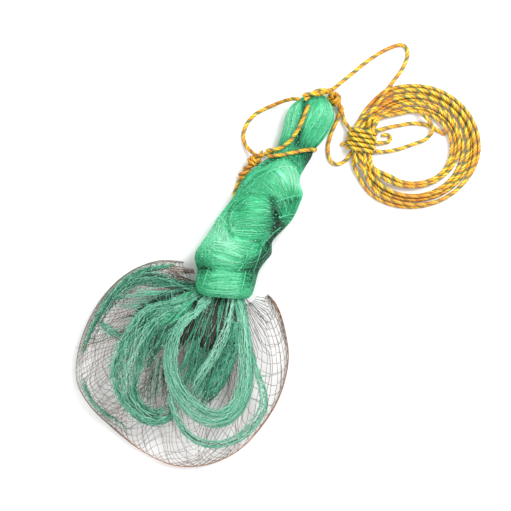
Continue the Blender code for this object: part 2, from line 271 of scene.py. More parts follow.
def new_material(name, roughness, ior=1.5, **uniform):
    """A material with an empty tree but for its shader and output; uniform sets the shader's own sockets."""
    material = bpy.data.materials.new(name)
    material.use_nodes = True
    tree = material.node_tree
    tree.nodes.clear()
    shader = node(tree, "ShaderNodeBsdfPrincipled", {"Roughness": roughness, "IOR": ior, **uniform})
    node(tree, "ShaderNodeOutputMaterial", {"Surface": shader.outputs["BSDF"]})
    return material, tree, shader


def math_node(tree, operation, *values):
    """The result of a sum on values or sockets."""
    return node(tree, "ShaderNodeMath", dict(enumerate(values)), operation=operation).outputs[0]


def mixed(tree, factor, first, second):
    """A colour between two, each a socket or a linear colour."""
    return node(tree, "ShaderNodeMix", {0: factor, 6: first, 7: second}, data_type="RGBA").outputs[2]


def ranged(tree, value, low, high, most=1.0):
    """0 where the value is low, most where it is high, and evenly between."""
    return node(tree, "ShaderNodeMapRange", {0: value, 1: low, 2: high, 3: 0.0, 4: most}).outputs[0]


def ramp(tree, value, stops):
    """The colours of values from 0 to 1."""
    return node(tree, "ShaderNodeValToRGB", {0: value}, stops).outputs[0]


def noise(tree, scale, detail=2.0, where=None):
    """Soft random values, over the object unless a place is given."""
    where = where or node(tree, "ShaderNodeTexCoord").outputs["Object"]
    return node(tree, "ShaderNodeTexNoise", {0: where, "Scale": scale, "Detail": detail}).outputs[0]


def coat(tree, shader, colour, relief, strength):
    """Gives the shader its colour and a fine relief."""
    tree.links.new(colour, shader.inputs["Base Color"])
    bump = node(tree, "ShaderNodeBump", {"Strength": strength, "Distance": RELIEF_DEPTH, "Height": relief})
    tree.links.new(bump.outputs[0], shader.inputs["Normal"])


# %% [markdown]
# ## The rope's finish
# The hand line is laid polypropylene rope, 5 mm thick: three strands twisted about each other, one turn in
# 14 mm. They are yellow, in places more orange, and a green tracer runs in one of them and shows as a
# slanting fleck once in each turn. The pattern follows the rope, so it is worked out from the rope's own UV
# map: across it counts strands, from 0 to 3, and along it counts millimetres.

# %% Rope material
ROPE_DIAMETER = 5.0
ROPE_STRANDS = 3
ROPE_LAY = 14.0  # mm along the rope for one turn of its strands


def rope_material():
    material, tree, shader = new_material("laid_polypropylene", 0.45, 1.49)
    place = node(tree, "ShaderNodeUVMap", uv_map="lay")
    split = node(tree, "ShaderNodeSeparateXYZ", {0: place.outputs["UV"]})
    along, across = split.outputs[0], split.outputs[1]
    strand = ramp(tree, math_node(tree, "DIVIDE", across, float(ROPE_STRANDS)), (
        (0.0, "#f4c61e"), (0.07, "#f6d435"), (0.1, "#257a4c"), (0.25, "#20705a"), (0.28, "#f0ba1b"),
        (0.34, "#e89a1a"), (0.5, "#f0b822"), (0.66, "#f8d62e"), (0.84, "#fae04c"), (1.0, "#f4c61e")))
    # The valleys between the strands are deep, and a brown painted shadow is laid into them.
    swing = math_node(tree, "SINE", math_node(tree, "MULTIPLY", across, math.pi))
    valley = ranged(tree, math_node(tree, "ABSOLUTE", swing), 0.05, 0.62)
    shaded = mixed(tree, valley, linear("#7d4208"), strand)
    # Each strand is a bundle of flat fibres that run with it: thin streaks of light and dark.
    stretched = node(tree, "ShaderNodeCombineXYZ", {0: math_node(tree, "MULTIPLY", along, 0.05),
                                                    1: math_node(tree, "MULTIPLY", across, 4.0)})
    fibre = noise(tree, 2.6, where=stretched.outputs[0])
    fibrous = mixed(tree, ranged(tree, fibre, 0.5, 0.72, 0.55), shaded, linear("#c9711a"))
    # Handling has left it stained in wide patches.
    stain = ranged(tree, noise(tree, 26.0, 3.0), 0.46, 0.7, 0.66)
    coat(tree, shader, mixed(tree, stain, fibrous, linear("#c86f14")), fibre, 0.4)
    return material


ROPE = rope_material()
print("rope finish made")

# %% [markdown]
# ## The rope itself
# A rope is a tube along its route whose section has three lobes, and the section turns as it goes, so the
# strands are real ridges that show at the rope's edge too. The routes that lie free are the ones the
# frame's cord solids follow.

# %% Rope builder
ROPE_SIDES = 12
ROPE_STEP = 2.0  # mm between rings
VALLEY = 0.55  # mm from a strand's back down to the valley beside it
CUT_END_SHARE = 0.55  # of the rope's radius that is left at a cut end


def rope_parts(line):
    """Points, triangles and lay coordinates of one rope along a line in metres."""
    reach = reach_along(line) / MM
    lobes = np.abs(np.sin(math.pi * np.arange(ROPE_SIDES) * ROPE_STRANDS / ROPE_SIDES))
    radius = np.tile((ROPE_DIAMETER / 2 - VALLEY * (1 - lobes)) * MM, (len(line), 1))
    radius[[0, -1]] *= CUT_END_SHARE
    points = rings_round(line[None], radius[None], ROPE_SIDES, reach[:, None] * math.tau / ROPE_LAY)
    triangles = prism_triangles(1, len(line), ROPE_SIDES)
    ring, side = triangles // ROPE_SIDES, triangles % ROPE_SIDES
    closing = (side == 0) & (side.max(axis=1, keepdims=True) == ROPE_SIDES - 1)
    across = np.where(closing, ROPE_SIDES, side) * ROPE_STRANDS / ROPE_SIDES
    return points.reshape(-1, 3), triangles, np.stack([reach[ring], across], axis=-1)


def add_rope(name, lines):
    """One object of the ropes along these lines."""
    points, triangles, lays, first = [], [], [], 0
    for line in lines:
        some_points, some_triangles, lay = rope_parts(line)
        points.append(some_points)
        triangles.append(some_triangles + first)
        lays.append(lay)
        first += len(some_points)
    piece = add_mesh(name, np.concatenate(points), np.concatenate(triangles), ROPE)
    layer = piece.data.uv_layers.new(name="lay")
    layer.data.foreach_set("uv", np.concatenate(lays).astype(np.float32).ravel())
    print(name, sum(map(len, triangles)), "triangles,", round(sum(map(line_length, lines)), 3), "m")
    return own(piece)


# %% [markdown]
# ## The knots
# The rope is hitched twice round the head of the hank and once round its neck. A real hitch is the same rope
# laid round itself, so each knot is two or three ropes that wind about one curve, not a lump.

# %% Head and neck knots
HEAD_KNOT = ((113, 207, 38), (121, 211, 36), (131, 214, 33), (141, 215, 25), (149, 211, 16), (155, 203, 9),
             (159, 196, 6.5))
NECK_KNOT = ((68, 146, 22), (62, 142, 20), (54, 134, 16), (47, 126, 12), (42, 119, 8))


def wound(points, strands, turns, offset):
    """Lines that wind about the smooth route through points, offset mm from it."""
    middle = route(points, ROPE_STEP)
    share = np.linspace(0, 1, len(middle))[:, None]
    return [wound_line(middle, math.tau * (strand / strands + turns * share), offset * MM)
            for strand in range(strands)]


def hitch(centre, axis, radius, turns, pitch):
    """A rope wound turns times round a point, about an axis; all in mm."""
    axis = Vector(axis).normalized()
    across = axis.cross(Vector((0, 0, 1))).normalized()
    over = axis.cross(across)
    angle = np.linspace(0, math.tau * turns, int(turns * 20))[:, None]
    spread = (angle / math.tau - turns / 2) * pitch
    circle = np.cos(angle) * np.array(across) + np.sin(angle) * np.array(over)
    return even_steps(np.array(centre) + spread * np.array(axis) + radius * circle, ROPE_STEP) * MM


head_knot = add_rope("head_knot_ropes", wound(HEAD_KNOT, 2, 1.6, 2.4)
                     + [hitch((150, 209, 16), (1, -0.9, -1.2), 5.2, 2.2, 4.6)])
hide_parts("head_knot")
neck_knot = add_rope("neck_knot_ropes", wound(NECK_KNOT, 2, 2.1, 2.5)
                     + [hitch((58, 138, 18), (-0.7, -0.75, -0.4), 4.9, 2.3, 4.4)])
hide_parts("neck_knot")

# %% [markdown]
# ## The hand line and its coil
# The line leaves the head knot, makes one high loop over the floor, dives into the tie and then goes eight
# times round the coil. Away from the tie the turns lie beside each other, every second one on top, and at
# the tie they are drawn together and lifted, because the wraps pass under them.

# %% Coil route
COIL_CENTRE = (241.0, 155.0)
COIL_SQUASH = 0.924
COIL_TURNS = 8
COIL_FIRST, COIL_LAST = 76.2, 44.8  # mm from the centre, outermost and innermost turn
TIE_ANGLE = 173.0  # degrees round the coil
TIE_LANE = 6.4  # mm between turns where they are tied
COIL_ORDER = (5, 2, 7, 0, 4, 1, 6, 3)  # the place of each turn across the coil, outermost first
STEPS_A_TURN = 18
WANDER = 1.6  # mm that a turn strays from its place
BOTTOM_SLACK = 1.4  # how much more of that at the bottom of the coil
TIED_REACH, SPREAD_REACH = 12, 40  # degrees from the tie that turns stay tied, and then take to spread
CHANGE_REACH = 0.15  # share of a turn, at each end of it, in which it moves to the next turn's place
FREE_HEIGHT, FREE_RISE, SWAY = 2.6, 4.4, 1.2  # mm: of the lower turns, up to the upper ones, and along a turn
TIED_HEIGHT, TIED_RISE = 7.9, 5.0  # mm: the same in the tie
HAND_LOOP = ((132, 213, 34), (141, 217, 25), (149, 221, 12), (158, 229, 5), (170, 239, 3), (186, 252, 3),
             (202, 263, 3), (216, 270, 3), (227, 273, 3), (234, 269, 3), (235, 259, 3), (229, 245, 4),
             (219, 231, 9), (208, 216, 16), (198, 201, 18), (190, 189, 21))
LINE_END = ((172, 165, 7), (166, 161, 4), (161, 158, 3), (157, 158, 3))


def coil_place(angle, radius, height):
    """A point of the coil in mm."""
    turned = math.radians(angle)
    return (COIL_CENTRE[0] + radius * math.cos(turned),
            COIL_CENTRE[1] + COIL_SQUASH * radius * math.sin(turned), height)


def lane_of(turn, share):
    """Which place across the coil the rope is at, this share of the way round a turn."""
    lane = COIL_ORDER[turn]
    if share > 1 - CHANGE_REACH:
        after = COIL_ORDER[(turn + 1) % COIL_TURNS]
        return lane + (after - lane) * (share - (1 - CHANGE_REACH)) / (2 * CHANGE_REACH)
    if share <= CHANGE_REACH and turn > 0:
        return lane + (COIL_ORDER[turn - 1] - lane) * (CHANGE_REACH - share) / (2 * CHANGE_REACH)
    return lane


def coil_points():
    """The turns of the coil, clockwise from the tie."""
    spacing = (COIL_FIRST - COIL_LAST) / (COIL_TURNS - 1)
    middle = (COIL_FIRST + COIL_LAST) / 2
    wander = RANDOM.uniform(-WANDER, WANDER, (COIL_TURNS + 1, 6))
    points = []
    for turn, step in np.ndindex(COIL_TURNS, STEPS_A_TURN):
        share = step / STEPS_A_TURN
        angle = TIE_ANGLE - 360 * share
        free = min(1.0, max(0.0, (min(share, 1 - share) * 360 - TIED_REACH) / SPREAD_REACH))
        free = free * free * (3 - 2 * free)
        slack = 1 + BOTTOM_SLACK * max(0.0, -math.sin(math.radians(angle)))
        stray = slack * smooth(wander[turn][:, None], [share * 5])[0][0]
        loose = COIL_FIRST - spacing * lane_of(turn, share) + stray
        loose = min(COIL_FIRST + 0.5, max(COIL_LAST - 0.5, loose))
        tied = middle + TIE_LANE * ((turn % 4) - 1.5)
        height_free = FREE_HEIGHT + FREE_RISE * (COIL_ORDER[turn] % 2) + SWAY * math.sin(share * 9 + turn)
        height_free = max(FREE_HEIGHT, height_free)
        height_tied = TIED_HEIGHT + TIED_RISE * (turn // 4)
        height = height_tied + (height_free - height_tied) * free
        points.append(coil_place(angle, tied + (loose - tied) * free, height))
    return points


# %% Hand line
hand_points = list(HAND_LOOP) + coil_points() + list(LINE_END)
hand_path = route(hand_points, ROPE_STEP)
hand_line = add_rope("hand_line", [hand_path])
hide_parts("rope_hand_loop", "rope_coil", "rope_end_stub")

# %% [markdown]
# ## The coil's tie and the strands across it
# Nearly five wraps hold the turns together. Each goes over the bundle and back under it, so they are one
# helix of a flattened round section. Two strands of the same line cross the inside of the coil from the tie.

# %% Tie and inner strands
TIE_TURNS, TIE_PITCH = 4.6, 5.3
BUNDLE_HALF_WIDTH, BUNDLE_HALF_HEIGHT, BUNDLE_MIDDLE = 15.2, 7.9, 10.5
BUNDLE_SQUARENESS = 0.8  # below 1 the section is fuller than an ellipse


def squared(wave):
    """A sine or cosine with its rounds filled out."""
    return np.sign(wave) * np.abs(wave) ** BUNDLE_SQUARENESS


def tie_points():
    """The wraps round the tied turns, in mm."""
    centre = np.array(coil_place(TIE_ANGLE + 1, (COIL_FIRST + COIL_LAST) / 2, BUNDLE_MIDDLE))
    outward = np.array((math.cos(math.radians(TIE_ANGLE)), math.sin(math.radians(TIE_ANGLE)), 0.0))
    along = np.array((-outward[1], outward[0], 0.0))
    angle = np.linspace(0, math.tau * TIE_TURNS, int(TIE_TURNS * 24))[:, None]
    drift = (angle / math.tau - TIE_TURNS / 2) * TIE_PITCH
    up = np.array((0.0, 0.0, 1.0))
    return (centre + along * drift + outward * squared(np.cos(angle)) * BUNDLE_HALF_WIDTH
            + up * squared(np.sin(angle)) * BUNDLE_HALF_HEIGHT)


INNER_STRANDS = {
    "rope_inner_high": ((190, 171, 10), (197, 173, 9), (205, 175, 6), (212, 177, 4), (222, 179, 3),
                        (240, 182, 3), (258, 180, 3), (270, 174, 3), (279, 169, 3)),
    "rope_inner_low": ((247, 196, 12), (252, 191, 12), (259, 184, 10), (263, 177, 9), (262, 170, 7),
                       (255, 163, 4), (242, 158, 3), (224, 152, 3), (207, 149, 4), (197, 150, 7)),
    "rope_end_hook": ((187, 160, 7), (194, 160, 6), (201, 159.5, 5), (208, 159.5, 4), (213.5, 161, 3),
                      (215.5, 164.5, 3), (213.5, 168, 3), (209.5, 169, 3), (205, 168, 3)),
    "rope_small_loop": ((156, 194, 5), (154, 187, 4), (150, 178, 3), (146, 168, 3), (143, 155, 3),
                        (144, 143, 3), (149, 136, 3), (156, 135, 3), (163, 139, 3), (168, 145, 3),
                        (172, 151, 3)),
    "rope_link": ((158, 198, 7), (160, 191, 6), (162, 184, 6), (167, 177, 8), (175, 169, 12)),
}
coil_wraps = add_rope("coil_wraps", [even_steps(tie_points(), ROPE_STEP) * MM])
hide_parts("coil_tie")

# %% [markdown]
# ## The ropes round the head and the neck
# One strand runs from the head knot in a wide loop to the neck knot, one lies over the head along its
# groove, and one goes once round the neck and hangs its tail beside it.

# %% Loop, over-head strand and neck wrap
BINDING_ROPES = {
    "rope_left_loop": ((109, 206, 36), (101, 207, 29), (91, 206, 17), (80, 203, 7), (68, 198, 3),
                       (57, 191, 3), (49, 181, 3), (45, 169, 3), (47, 158, 4), (53, 150, 8), (58, 146, 13)),
    "rope_over_head": ((71, 149, 27), (80, 149, 31), (91, 153, 32), (101, 162, 35), (109, 175, 40),
                       (115, 189, 42), (119, 199, 40)),
    "rope_neck_wrap": ((73, 142, 29), (82, 142, 34), (94, 144, 34), (108, 147, 33), (118, 149, 31),
                       (125, 149.5, 25), (127.5, 150, 15), (125, 150, 6), (117, 150, 3), (104, 150, 3),
                       (89, 150, 3), (78, 149, 4), (69, 146, 8)),
    "rope_neck_tail": ((53, 133, 14), (47, 125, 11), (41, 117, 7), (38, 110, 3), (35, 102, 3), (34, 95, 3)),
}
FREE_ENDS = {"rope_neck_tail": "bare", "rope_end_hook": "bare"}
KNOTS_ON = {"rope_neck_tail": [neck_knot]}
for rope_name, rope_points in {**INNER_STRANDS, **BINDING_ROPES}.items():
    path = route(rope_points, ROPE_STEP)
    piece = add_rope(rope_name.replace("rope_", "line_"), [path])
    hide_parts(rope_name)
    line_length(path)
    FREE_ENDS.get(rope_name, "object")
    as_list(KNOTS_ON.get(rope_name, []))

line_length(hand_path)

# %% [markdown]
# ## The netting's finish
# The net is knotted from fine twisted nylon, dyed green and a little glossy, so that where many threads run
# side by side they shine in streaks. The loose end is older and bleached to grey-brown. Each strand carries
# a shade of its own, a "tone" from 0 for the deepest to 1 for the brightest, and the material turns it to a
# colour. On the hank, under the mouth, low in the bands and at the knots, the tones also carry painted
# highlights and painted shade. A faint noise along the object keeps one strand from being one flat colour.


# %% Netting materials
def yarn_material(name, stops, roughness, streak):
    """Twisted nylon: tone picks the colour, and noise the size of a few twists breaks it up."""
    material, tree, shader = new_material(name, roughness, 1.53)
    tone = node(tree, "ShaderNodeAttribute", attribute_name="tone").outputs["Fac"]
    fine = noise(tree, 420.0)
    both = math_node(tree, "ADD", fine, noise(tree, 60.0))
    swing = math_node(tree, "MULTIPLY", math_node(tree, "SUBTRACT", both, 1.0), streak)
    coat(tree, shader, ramp(tree, math_node(tree, "ADD", tone, swing), stops), fine, 0.25)
    return material


YARNS = {
    # name: colours from the deepest tone to the brightest, roughness, how much noise breaks them up
    "green": (((0.0, "#0e3526"), (0.22, "#1d7a55"), (0.45, "#3bb881"), (0.68, "#5cd9a1"), (1.0, "#a6f3cf")),
              0.4, 0.35),
    "milky": (((0.0, "#174a39"), (0.3, "#43957a"), (0.6, "#76c8a6"), (1.0, "#b4e6d0")), 0.45, 0.35),
    "faded": (((0.0, "#08231a"), (0.25, "#276b54"), (0.5, "#4ba180"), (0.75, "#70c4a2"), (1.0, "#abe3ca")),
              0.45, 0.45),
    "bleached": (((0.0, "#15130b"), (0.12, "#2e2a1c"), (0.3, "#5f4f43"), (0.55, "#94806f"), (0.8, "#bfa996"),
                  (1.0, "#ebe2d6")), 0.5, 0.3),
    "orange": (((0.0, "#6b3413"), (0.5, "#b8692f"), (1.0, "#dd9a5a")), 0.5, 0.3),
}
YARN = {name: yarn_material("twisted_nylon_" + name, *looks) for name, looks in YARNS.items()}
print("netting finishes:", ", ".join(YARN))

# %% [markdown]
# ## Shapes taken from the frame
# The hank and the bunches keep the outer form of their solids. A thread finds the surface with a tree of the
# solid's faces, which answers two questions quickly: how high is the form at this place, and which point of
# it is nearest. Under the threads lies a smoothed copy of the solid, a little smaller, so that nothing
# shows through between them but more net.


# %% Surfaces of the frame's solids
def surface_of(node_name):
    """A tree of a solid's faces, to look up its surface."""
    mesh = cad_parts[node_name].data
    return BVHTree.FromPolygons([v.co.copy() for v in mesh.vertices],
                                [tuple(face.vertices) for face in mesh.polygons])


def top_of(tree, x, y):
    """How high the form is over a place on the floor, or None beside it; all in metres."""
    hit = tree.ray_cast(Vector((x, y, 0.5)), Vector((0, 0, -1)))
    return None if hit[0] is None else hit[0].z


def core_of(node_name, name, shrink, material, tone):
    """A merged, smoothed copy of a solid, drawn in by shrink mm."""
    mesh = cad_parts[node_name].data.copy()
    mesh.materials.clear()
    mesh.materials.append(material)
    piece = bpy.data.objects.new(name, mesh)
    mesh.name = name
    bpy.context.collection.objects.link(piece)
    bpy.ops.object.select_all(action="DESELECT")
    piece.select_set(True)
    bpy.context.view_layer.objects.active = piece
    bpy.ops.object.mode_set(mode="EDIT")
    bpy.ops.mesh.select_all(action="SELECT")
    bpy.ops.mesh.remove_doubles(threshold=0.02 * MM)
    bpy.ops.mesh.tris_convert_to_quads()
    bpy.ops.transform.shrink_fatten(value=-shrink * MM)
    bpy.ops.object.mode_set(mode="OBJECT")
    softer = piece.modifiers.new("soft", "SUBSURF")
    softer.levels = softer.render_levels = 1
    bpy.ops.object.modifier_apply(modifier=softer.name)
    bpy.ops.object.shade_smooth()
    layer = piece.data.attributes.new("tone", "FLOAT", "POINT")
    layer.data.foreach_set("value", np.full(len(piece.data.vertices), tone, np.float32))
    return piece


# %% [markdown]
# ## The hank's threads
# On the real hank the netting is pulled into a flat rope of threads and laid round itself, so the threads
# run one way on each wrap and cross at its edges. Combing gives this: each thread starts somewhere on the
# form and walks over it, turning step by step to the direction of the comb strokes nearby. The strokes
# are a short table. A thread that reaches the side of the form keeps its heading and goes on underneath.

# %% Comb strokes on the hank
STROKES = np.array([
    # x, y in mm, direction in degrees from +X towards +Y
    (122, 210, 60), (103, 196, 80), (97, 180, 80), (112, 190, 62), (140, 198, 62), (134, 184, 64),
    (124, 166, 66), (92, 160, 82), (108, 158, 75), (112, 146, 78), (98, 142, 80), (122, 140, 66),
    (80, 132, 36), (68, 122, 40), (96, 130, 150), (104, 122, 122), (106, 108, 104), (98, 112, 108),
    (88, 118, 128), (78, 116, 140), (66, 106, 48), (76, 102, 135), (86, 100, 120), (95, 100, 112),
    (60, 96, 150), (50, 90, 30), (45, 82, 172), (58, 84, 176), (70, 80, 172), (78, 88, 130),
    (44, 66, 4), (58, 66, 2), (70, 62, 10), (52, 54, 172), (10, 60, 60), (15, 68, 58), (20, 58, 74),
    (25, 66, 84), (5, 50, 56), (28, 50, 100), (92, 84, 106), (100, 92, 100), (96, 72, 110), (90, 60, 118),
    (82, 48, 40), (76, 36, 60), (6, 40, 150), (18, 42, 164), (32, 44, 172), (48, 40, 176), (20, 30, 152),
    (34, 28, 158), (44, 22, 165), (56, 30, 70), (60, 40, 60), (66, 30, 55), (4, 26, 100), (-4, 30, 80),
    (12, 14, 165), (30, 12, 172), (48, 10, 178), (0, 2, 8), (18, 4, 4), (34, 0, 0), (50, 2, 4), (22, -12, 0),
    (40, -12, 176), (2, -10, 10), (58, 4, 172),
], float)
STROKE_ANGLES = np.radians(STROKES[:, 2]) * 2  # doubled, because a thread has no front or back
print(len(STROKES), "comb strokes")


def comb_direction(place):
    """The threads' direction on the floor plan at a place in metres."""
    offset = STROKES[:, :2] * MM - place[:2]
    weight = 1.0 / ((offset**2).sum(axis=1) + (2 * MM) ** 2) ** 2
    angle = math.atan2((weight * np.sin(STROKE_ANGLES)).sum(), (weight * np.cos(STROKE_ANGLES)).sum()) / 2
    return Vector((math.cos(angle), math.sin(angle), 0))


# %% Painted highlights and shade on the hank
MIDDLE_TONE = 0.5
HANK_PAINTED_LIGHT_SPOTS = np.array([
    # x, y, reach in mm, change of tone: above 0 a painted highlight, below 0 painted shade
    (98, 124, 15, 0.34), (105, 110, 9, 0.16), (90, 112, 13, 0.12), (104, 190, 10, 0.34), (137, 194, 9, 0.26),
    (98, 172, 9, 0.26), (128, 178, 7, 0.16), (18, 60, 13, 0.32), (8, 46, 9, 0.16), (30, 40, 16, 0.26),
    (28, 28, 12, 0.16), (24, -4, 15, 0.22), (32, -14, 10, 0.14), (52, 60, 10, 0.14), (58, 78, 14, 0.12),
    (66, 92, 12, 0.08), (82, 72, 7, -0.14), (84, 60, 8, -0.1), (86, 50, 8, -0.3), (50, 14, 9, -0.1),
    (0, 15, 7, -0.16), (58, 12, 7, -0.2), (112, 140, 9, -0.26), (126, 142, 8, -0.45), (112, 196, 4, -0.16),
    (110, 184, 4, -0.18), (108, 170, 4, -0.2), (106, 158, 5, -0.2), (118, 128, 6, -0.3), (98, 84, 12, -0.12),
    (102, 98, 9, -0.06), (60, -4, 8, -0.3), (66, 22, 8, -0.3), (78, 34, 8, -0.34), (-5, 22, 6, -0.08),
    (60, 46, 7, -0.08), (76, 132, 7, -0.18), (62, 112, 6, -0.08), (40, 84, 6, -0.08), (96, 34, 9, -0.3),
    (43, 66, 7, -0.12),
], float)


def hank_tone_with_painted_light(place):
    """The tone of the net at a place of the hank in metres, with the painted highlights and painted shade of
    the table of spots.
    """
    offset = HANK_PAINTED_LIGHT_SPOTS[:, :2] * MM - place[:2]
    reach = HANK_PAINTED_LIGHT_SPOTS[:, 2] * MM
    return MIDDLE_TONE + float((HANK_PAINTED_LIGHT_SPOTS[:, 3] * np.exp(-(offset**2).sum(axis=1) / (2 * reach**2))).sum())


# %% Creases of the hank
CREASE_STEP = 1.5  # mm
SEEN_SHARE = 0.55  # of the form's height above which a place is on the side that is seen
CREASES = (
    # points on the plan in mm, width mm, depth mm, how much painted shade darkens the crease
    (((31, 82), (28, 72), (28.5, 62), (32, 53), (40, 48), (52, 46.5), (64, 45)), 1.5, 2.2, 0.34),
    (((77, 93), (79, 84), (82, 73), (83, 63), (80, 54)), 2.6, 2.4, 0.42),
    (((90, 64), (82, 52), (73, 42)), 1.8, 2.0, 0.4),
    (((-8, 17), (2, 14), (12, 14)), 1.8, 1.6, 0.34),
    (((12, 14), (36, 12)), 1.6, 0.8, 0.08),
    (((36, 12), (50, 12), (60, 14)), 1.9, 1.6, 0.3),
    (((68, 131), (76, 136), (87, 139.5), (97, 138), (105, 131), (110, 121), (111, 112)), 1.8, 2.4, 0.34),
    (((117, 207), (113, 190), (110, 175), (107, 156)), 2.4, 2.8, 0.3),
    (((130, 206), (127, 192), (122, 176)), 1.3, 0.9, 0.12),
    (((104, 200), (100, 186), (98, 172)), 1.2, 0.8, 0.1),
    (((109, 93), (96, 90), (82, 85.5)), 1.1, 1.4, 0.26),
    (((104, 73), (95, 70.5), (86, 67)), 1.1, 1.4, 0.26),
    (((67, 36), (64, 27), (59, 11)), 1.1, 1.2, 0.24),
    (((49, 11), (46.5, -5), (40.5, -23)), 1.0, 1.0, 0.2),
    (((5, 45), (16, 40), (26, 30), (38, 24)), 1.3, 0.7, 0.12),
    (((52, 44), (51, 34), (46, 21), (40, 14)), 1.2, 1.0, 0.14),
    (((48, 100), (62, 97), (74, 99)), 1.6, 1.0, 0.12),
)
CREASE_TABLE = np.array([
    # x, y, width, depth and painted shade at close points along every crease, lengths in metres
    (x, y, width * MM, depth * MM, painted_crease_shade) for points, width, depth, painted_crease_shade in CREASES
    for x, y, _ in route([(*point, 0) for point in points], CREASE_STEP)
])
print(len(CREASES), "creases,", len(CREASE_TABLE), "points along them")


def crease_at(x, y):
    """How deep a crease is at a place in metres, and how much painted shade darkens it."""
    distance_squared = (CREASE_TABLE[:, 0] - x) ** 2 + (CREASE_TABLE[:, 1] - y) ** 2
    weight = np.exp(-distance_squared / (2 * CREASE_TABLE[:, 2] ** 2))
    nearest = int(np.argmax(weight * CREASE_TABLE[:, 3]))
    return weight[nearest] * CREASE_TABLE[nearest, 3], weight[nearest] * CREASE_TABLE[nearest, 4]


def pressed(tree, points, tones):
    """Points and tones of the hank with its creases pressed in on the side that is seen, and darkened there
    with painted shade.
    """
    points, tones = np.array(points), np.array(tones)
    for row, (x, y, z) in enumerate(points):
        top = top_of(tree, x, y)
        if top is not None and z > top * SEEN_SHARE:
            depth, painted_crease_shade = crease_at(x, y)
            points[row, 2] -= depth
            tones[row] -= painted_crease_shade
    return points, tones


# %% Combing the threads
THREAD_STEP = 5.5 * MM
THREAD_STEPS = 17
THREAD_COUNT = 1750
HANK_KNOTS = 1900
THREAD_RADIUS = 0.3 * MM  # drawn twice the real thickness, because finer threads don't show
THREAD_LIFTS = (-1.0, 0.8)  # mm over the form, lowest and highest
THREAD_SWERVE = 0.16  # radians that a thread strays from the comb strokes
COMB_PULL = 0.6  # how quickly a thread turns to the strokes where the form faces up
# The core is painted darker than its threads: painted shade for the net that lies deeper in.
CORE_SHRINK, CORE_PAINTED_SHADE = 1.1, 0.07  # mm, and how much darker the core is than its threads


def surface_starts(core, count):
    """Random places on a mesh, as many to each square millimetre everywhere."""
    faces = core.data.polygons
    areas = np.array([face.area for face in faces])
    chosen = RANDOM.choice(len(faces), count, p=areas / areas.sum())
    return [(faces[i].center.copy(), faces[i].normal.copy()) for i in chosen]


def combed(tree, start, normal, lift, swerve):
    """A thread that walks over the form both ways from its start, swerved a little off the comb strokes."""
    halves = []
    swerved = Matrix.Rotation(swerve, 3, "Z")
    for sign in (1, -1):
        place, facing, line = start.copy(), normal.copy(), []
        heading = comb_direction(np.array(place)) * sign
        heading = (heading - facing * heading.dot(facing)).normalized()
        for _ in range((THREAD_STEPS + 1) // 2):
            nearest, facing, _, _ = tree.find_nearest(place + heading * THREAD_STEP)
            if nearest is None:
                break
            wish = swerved @ comb_direction(np.array(nearest))
            if wish.dot(heading) < 0:
                wish = -wish
            pull = COMB_PULL * abs(facing.z) ** 2
            heading = heading * (1 - pull) + wish * pull
            heading = heading - facing * heading.dot(facing)
            if heading.length < 1e-6:
                break
            heading.normalize()
            place = nearest
            line.append(np.array(nearest + facing * lift))
        halves.append(line)
    return np.array(halves[1][::-1] + [np.array(start + normal * lift)] + halves[0])


hank_core = core_of("hank", "hank_core", CORE_SHRINK, YARN["green"], MIDDLE_TONE)
hank_tree = surface_of("hank")


def press_core(core):
    """The core takes the same tones, painted highlights, painted shade and creases as its threads."""
    places = np.array([point.co for point in core.data.vertices])
    places, shades = pressed(hank_tree, places, [hank_tone_with_painted_light(place) - CORE_PAINTED_SHADE for place in places])
    core.data.vertices.foreach_set("co", places.ravel())
    core.data.attributes["tone"].data.foreach_set("value", shades.astype(np.float32))
    core.data.update()


press_core(hank_core)
print("hank core", len(hank_core.data.polygons), "faces")


def hank_knots(strands, count):
    """The net's knots on the wraps, painted lighter than their threads as painted highlights where they catch
    the light.
    """
    centres, tones = [], []
    for start, _ in surface_starts(hank_core, count):
        nearest, facing, _, _ = hank_tree.find_nearest(start)
        centres.append(np.array(nearest + facing * 0.7 * MM))
        tones.append(hank_tone_with_painted_light(centres[-1]) + RANDOM.normal(0.26, 0.12))
    add_knots(strands, centres, tones, 0.62)


def comb_hank(count):
    """Threads all over the hank, each shaded by where it lies, with painted highlights and painted shade, and
    a little at random.
    """
    strands = Strands()
    lines, tones = [], []
    for start, normal in surface_starts(hank_core, count):
        lift = RANDOM.uniform(*THREAD_LIFTS) * MM
        nearest, facing, _, _ = hank_tree.find_nearest(start)
        line = combed(hank_tree, nearest, facing, lift, RANDOM.normal(0, THREAD_SWERVE))
        line = smooth(line, np.linspace(0, len(line) - 1, THREAD_STEPS))
        line[:, 2] = np.maximum(line[:, 2], THREAD_RADIUS)
        # Painted light: threads lifted higher are painted lighter, as if they caught more light.
        chance_and_painted_light = RANDOM.normal(0, 0.085) + lift / MM * 0.06  # threads on top catch more light
        line, shades = pressed(hank_tree, line, [hank_tone_with_painted_light(place) + chance_and_painted_light for place in line])
        lines.append(line)
        tones.append(shades)
    strands.add(np.array(lines), THREAD_RADIUS, np.array(tones))
    hank_knots(strands, HANK_KNOTS)
    return strands.finish("hank_threads", YARN["green"])


own(hank_core)
hank_threads = own(comb_hank(THREAD_COUNT))
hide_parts("hank")

# %% [markdown]
# ## The knotted seams on the hank
# Here and there the edge of the netting, a thicker row of knots, comes to the top of a wrap and shows as a
# pale ridge. Each ridge is three strands wound about one line that lies on the form.

